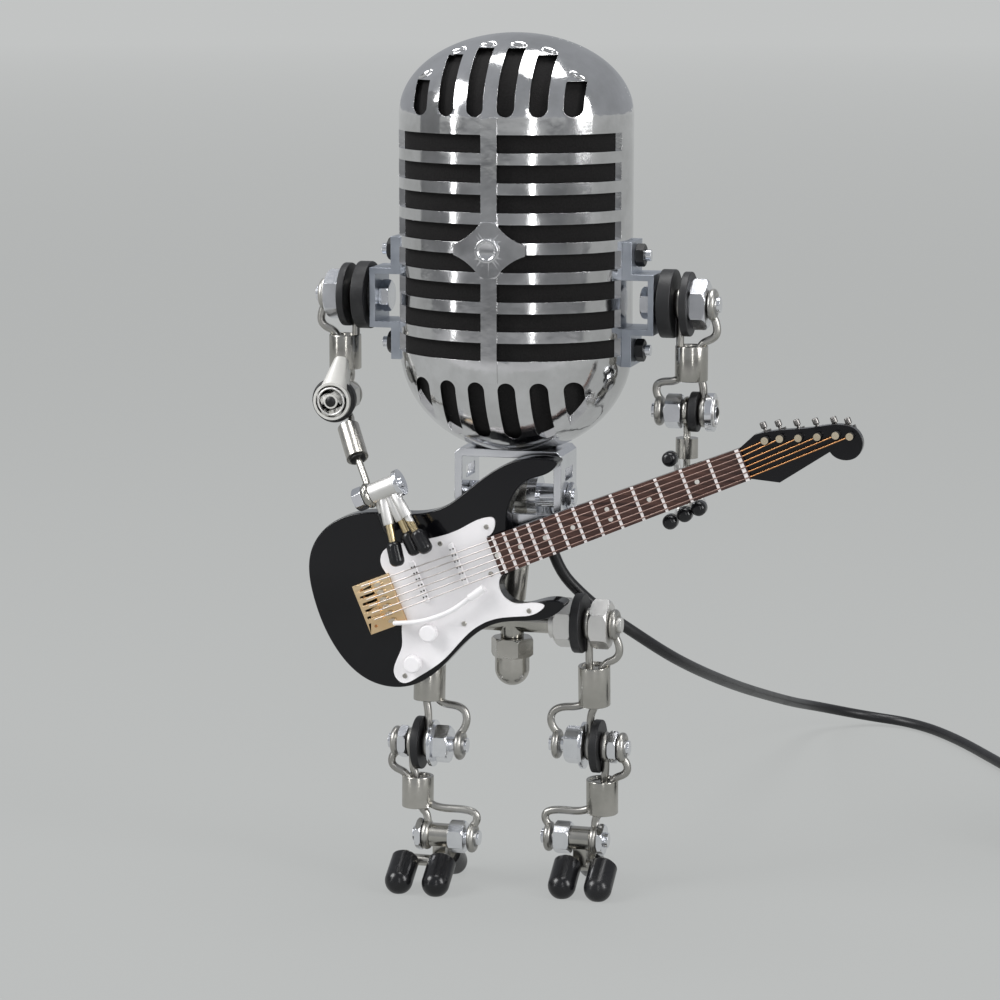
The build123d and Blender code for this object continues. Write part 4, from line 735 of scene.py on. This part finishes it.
ring = ringMesh("left_elbow_ring", [armSizes["ring"]], armSizes["ringWire"], 20)
shapePiece("left_elbow_ring", joinShapes([ring]), [blackRubber], "left_upper_arm", sharp=60)
shapePiece("left_elbow_lug", lugShape(armSizes), [paleDisc], "left_upper_arm", sharp=35)

sleeveStart, sleeveEnd = (at(*place) for place in armSizes["sleeve"])
sleeveWay = (sleeveEnd - sleeveStart).normalized() * mm
darkEnd = bmesh.new()
addRod(darkEnd, sleeveStart + sleeveWay * armSizes["darkFrom"],
       sleeveStart + sleeveWay * armSizes["darkTo"], armSizes["darkRadius"])
shapePiece("forearm_end", darkEnd, [blackBolt], "left_forearm")

sleeves = bmesh.new()
for number, spot in enumerate(fingerEnds):
    reach = armSizes["root"] + armSizes["pitch"] * number
    root = at(*armSizes["palm"]) + Vector(armSizes["palmWay"]) * reach * mm
    way = (at(*spot) - root).normalized() * mm
    addRod(sleeves, root + way * armSizes["fingerFrom"], root + way * armSizes["fingerTo"],
           armSizes["fingerSleeve"])
shapePiece("finger_sleeves", sleeves, [paleSteel], "left_hand")

print("cord")
cordSizes = {"radius": 1.5, "coilMiddle": (150.0, 75.0), "coilPitch": 4.1, "coilInner": 11.4,
             "layerHalves": 6, "layers": 4, "lift": 2.4, "plugTop": 5.4, "plugChord": 9.0,
             "pointsPerHalf": 6, "leadFrom": 27, "straight": 3}
cordRoute = [(6.9, 3.6, 96.4), (8.2, 4.1, 84.7), (17.3, 9.2, 73.4), (26.6, 16.5, 65.2), (33.6, 27.0, 57.3),
             (37.6, 43.0, 50.2), (40.0, 64.0, 42.8), (41.4, 92.0, 34.0), (42.2, 128.0, 23.6),
             (43.6, 163.0, 13.6), (46.6, 183.0, 8.1), (59.6, 196.0, 2.9), (76.0, 194.6, 1.8),
             (90.6, 178.6, 1.8), (108.0, 150.0, 1.9), (125.0, 122.0, 2.2)]


def coilTurns(sizes):
    # Half turns that wind in and out in layers, then one that climbs and one that leads to the plug.
    middleX, middleY = sizes["coilMiddle"]
    radius = sizes["coilInner"] + sizes["coilPitch"] / 2 * sizes["layerHalves"]
    ends = []
    side = -1
    for layer in range(sizes["layers"]):
        step = -sizes["coilPitch"] / 2 if layer % 2 == 0 else sizes["coilPitch"] / 2
        for number in range(sizes["layerHalves"] + 1):
            if number > 0:
                radius += step
            ends.append((middleX + side * radius, middleY, sizes["lift"] + layer * sizes["coilPitch"]))
            side = -side
    top = sizes["lift"] + (sizes["layers"] - 1) * sizes["coilPitch"] + sizes["radius"] + sizes["plugTop"]
    ends.append((middleX + side * radius, middleY, top))
    ends.append((middleX - side * sizes["plugChord"], middleY, top))
    return ends


def coilRoute(sizes):
    # The cord's control points round the coil, and its last one towards the plug.
    ends = coilTurns(sizes)
    count = sizes["pointsPerHalf"]
    bow = 1 / math.cos(math.pi / count / 2)
    turn = -1
    route = []
    for before, after in zip(ends, ends[1:]):
        middleX = (before[0] + after[0]) / 2
        reach = (before[0] - after[0]) / 2
        for number in range(count):
            share = (number + 0.5) / count
            angle = math.pi * share
            across = middleX + reach * math.cos(angle) * bow
            along = before[1] + turn * abs(reach) * math.sin(angle) * bow
            route.append((across, along, before[2] + (after[2] - before[2]) * share))
        turn = -turn
    last = ends[-1]
    route.append((last[0], last[1] + turn * sizes["straight"], last[2]))
    return route


turnX, turnY, turnZ = coilTurns(cordSizes)[0]
leadIn = [(turnX, turnY + cordSizes["leadFrom"], turnZ), (turnX, turnY + cordSizes["straight"], turnZ)]
wholeRoute = cordRoute + leadIn + coilRoute(cordSizes)
powerCurve = splineCurve("power_cord", [wholeRoute], cordSizes["radius"])
powerCord = addObject("power_cord", powerCurve)
powerCurve.materials.append(cordRubber.material)
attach(powerCord, "torso")
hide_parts("cord_lead")
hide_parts("cord_coil")
plugLow, plugHigh = (Vector(corner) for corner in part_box("cord_plug"))
plugSizes = {"shell": 11.0, "seam": 0.05, "shellHalf": 2.2, "ridges": 6, "ridge": (7.2, 0.7, 0.5),
             "ridgeFrom": 3.4, "ridgePitch": 1.5, "window": (2.4, 2.2, 0.1), "windowSide": 2.2,
             "windowFromEnd": 6.0, "soft": 0.3}
plugWay = 1 if (plugLow.y + plugHigh.y) / 2 > at(0, cordSizes["coilMiddle"][1], 0).y else -1
plugEnd = plugHigh.y if plugWay > 0 else plugLow.y


def plugDetails(name, spots, size, finish, height):
    # Small raised blocks on the plug, at spots across it and back from its metal end.
    shape = bmesh.new()
    for across, back in spots:
        made = bmesh.ops.create_cube(shape, size=mm)
        bmesh.ops.scale(shape, vec=size, verts=made["verts"])
        place = Vector(((plugLow.x + plugHigh.x) / 2 + across * mm, plugEnd - plugWay * back * mm, height))
        bmesh.ops.translate(shape, vec=place, verts=made["verts"])
    return shapePiece(name, shape, [finish], "torso", sharp=30)


def shellSide(point):
    # Whether a place on the plug belongs to its metal shell.
    return (plugEnd - at(*point).y) * plugWay < (plugSizes["shell"] + plugSizes["seam"]) * mm


plug = dressMixed("cord_plug", [blackPlastic, brightChrome], shellSide, plugSizes["soft"])
shellTop = (plugLow.z + plugHigh.z) / 2 + plugSizes["shellHalf"] * mm
ridgeSpots = [(0, plugSizes["shell"] + plugSizes["ridgeFrom"] + number * plugSizes["ridgePitch"])
              for number in range(plugSizes["ridges"])]
windowSpots = [(side * plugSizes["windowSide"], plugSizes["windowFromEnd"]) for side in (-1, 1)]
ridges = plugDetails("plug_ridges", ridgeSpots, plugSizes["ridge"], blackPlastic, plugHigh.z)
windows = plugDetails("plug_windows", windowSpots, plugSizes["window"], blackBolt, shellTop)
# ringFrom, ringPitch and ringWide are shares of the sleeve's length, the rest are millimetres.
reliefSizes = {"start": 2.5, "end": 1.75, "from": (6.75, 3.55, 97.4), "to": (8.1, 4.05, 87.2), "rings": 5,
               "ringFrom": 0.18, "ringPitch": 0.14, "ringWide": 0.05, "lip": 0.06, "groove": 0.3}


def strainRelief(sizes):
    # A tapered rubber sleeve with a few grooves, over the cord where it leaves the gland.
    start = at(*sizes["from"])
    end = at(*sizes["to"])
    length = (end - start).length
    wide = sizes["ringWide"] * length
    shape = bmesh.new()
    bmesh.ops.create_cone(shape, cap_ends=True, segments=48, radius1=sizes["start"] * mm,
                          radius2=sizes["end"] * mm, depth=length)
    for number in range(sizes["rings"]):
        level = length * (sizes["ringFrom"] + sizes["ringPitch"] * number - 0.5)
        for height in (level, level + wide):
            cutShape(shape, (0, 0, height), (0, 0, 1))
        groove = [face for face in shape.faces
                  if len(face.verts) == 4 and level < face.calc_center_median().z < level + wide]
        bmesh.ops.inset_region(shape, faces=groove, thickness=sizes["lip"] * mm, depth=-sizes["groove"] * mm)
    layBetween(shape, start, end)
    bmesh.ops.recalc_face_normals(shape, faces=shape.faces)
    return shape


shapePiece("strain_relief", strainRelief(reliefSizes), [cordRubber], "torso", sharp=40)
tie = dress("cord_tie", blackPlastic, 0.2)

print("studio")
# far is the paler glow far away; near and farAway are the distances over which the floor glow's painted
# shade fades out.
studio = {"floorHalf": 30.0, "paper": (0.46, 0.47, 0.465), "cloud": 1.04, "far": (0.60, 0.61, 0.605),
          "near": 0.2, "farAway": 7.0, "evenShare": 0.86, "airColor": (0.55, 0.57, 0.60),
          "airStrength": 0.66}


def paperFinish(sizes):
    # Pale paper that camera and mirrors see alike, with the lamp's shadow kept. Its glow is painted shade,
    # darker near the middle and paler far away.
    finish = Finish("studioPaper", Roughness=0.9, Specular_IOR_Level=0.1)
    paper = rgb(*sizes["paper"])
    cloudy = rgb(*(value * sizes["cloud"] for value in sizes["paper"]))
    tone = finish.spread(finish.noise(scale=2.0, detail=2), low=0.3, high=0.7)
    finish.feed("Base Color", finish.mixed(tone, paper, cloudy))
    camera, mirror, glass = (finish.node("ShaderNodeLightPath", output=label)
                             for label in ("Is Camera Ray", "Is Glossy Ray", "Is Transmission Ray"))
    away = finish.node("ShaderNodeVectorMath", {"operation": "LENGTH"}, {0: finish.coords()}, 1)
    # Painted shade: the glow's colour runs from the paper's near the middle to the paler far colour far
    # away.
    share = finish.spread(away, sizes["near"], sizes["farAway"])
    paintedShadeGlow = finish.mixed(share, paper, rgb(*sizes["far"]))
    glow = finish.node("ShaderNodeEmission", {}, {"Color": paintedShadeGlow, "Strength": 1.0})
    even = (camera + mirror + glass) * sizes["evenShare"]
    surface = Flow(finish, finish.shader.outputs["BSDF"])
    both = finish.node("ShaderNodeMixShader", {}, {"Fac": even, 1: surface, 2: glow})
    finish.tree.links.new(both.socket, finish.tree.nodes["Material Output"].inputs["Surface"])
    return finish


paperShape = bmesh.new()
bmesh.ops.create_grid(paperShape, x_segments=1, y_segments=1, size=studio["floorHalf"])
floor = addObject("studio_floor", meshFrom("studio_floor", paperShape))
floor.data.materials.append(paperFinish(studio).material)

# Grey cards that only mirrors see, on the camera's side, draw the lines in the chrome.
# Each has its place, its half sizes and its turns in degrees.
cards = {"floor": ((0.0, -1.75, 0.002), (2.6, 1.35), (0, 0, 0)),
         "left": ((-1.5, -0.4, 0.5), (0.5, 0.35), (0, 90, 20)),
         "right": ((1.3, -0.75, 0.35), (0.35, 0.22), (0, 90, -25))}
cardGrey = Finish("cardGrey", Roughness=0.9, Specular_IOR_Level=0.0)
cardTone = cardGrey.noise(scale=3, detail=2)
cardGrey.feed("Base Color", cardGrey.mixed(cardTone, rgb(0.34, 0.34, 0.34), rgb(0.44, 0.44, 0.44)))


def studioCard(name, place, halves, turn):
    shape = bmesh.new()
    bmesh.ops.create_grid(shape, x_segments=1, y_segments=1, size=1)
    bmesh.ops.scale(shape, vec=(halves[0], halves[1], 1), verts=shape.verts)
    for axis, angle in zip("XYZ", turn):
        turnShape(shape, math.radians(angle), axis, shape.verts)
    bmesh.ops.translate(shape, vec=place, verts=shape.verts)
    card = addObject(name, meshFrom(name, shape))
    card.data.materials.append(cardGrey.material)
    card.visible_camera = False
    card.visible_diffuse = False
    card.visible_shadow = False


for name, (place, halves, turn) in cards.items():
    studioCard(name + "_card", place, halves, turn)

world = bpy.data.worlds.new("studioAir")
bpy.context.scene.world = world
world.use_nodes = True
air = world.node_tree.nodes["Background"]
air.inputs["Color"].default_value = rgb(*studio["airColor"])
air.inputs["Strength"].default_value = studio["airStrength"]

# Each lamp has its place, its aim, its width and height, and its power.
softBoxes = {"keyBox": ((-0.75, -0.45, 0.75), (0, 0, 0.12), (0.5, 0.5), 8.8),
             "fillBox": ((0.85, -0.30, 0.45), (0, 0, 0.12), (0.3, 0.6), 5.4),
             "topBox": ((0.05, 0.05, 0.95), (0, 0, 0.1), (0.6, 0.4), 5.8),
             "stripBox": ((0.42, -1.15, 0.42), (0, 0, 0.15), (0.07, 0.9), 1.6),
             "sideStrip": ((-0.95, -0.85, 0.35), (0, 0, 0.15), (0.06, 0.7), 1.2)}
for name, (place, aim, size, power) in softBoxes.items():
    lamp = bpy.data.lights.new(name, "AREA")
    lamp.shape = "RECTANGLE"
    lamp.size, lamp.size_y = size
    lamp.energy = power
    holder = addObject(name, lamp)
    holder.location = place
    holder.rotation_euler = (Vector(aim) - Vector(place)).to_track_quat("-Z", "Y").to_euler()

# The focal length is in pixels of a picture 1000 pixels wide.
viewSizes = {"place": (207.06, -772.74, 240), "aim": (-3.86, -1.04, 101), "sensor": 36, "focal": 3214,
             "picture": 1000}
view = bpy.data.cameras.new("studioCamera")
view.sensor_width = viewSizes["sensor"]
view.lens = viewSizes["sensor"] * viewSizes["focal"] / viewSizes["picture"]
view.clip_start = 0.01
view.clip_end = 20
camera = addObject("studioCamera", view)
camera.location = at(*viewSizes["place"])
camera.rotation_euler = (at(*viewSizes["aim"]) - camera.location).to_track_quat("-Z", "Y").to_euler()
bpy.context.scene.camera = camera
bpy.context.scene.view_settings.view_transform = "Standard"
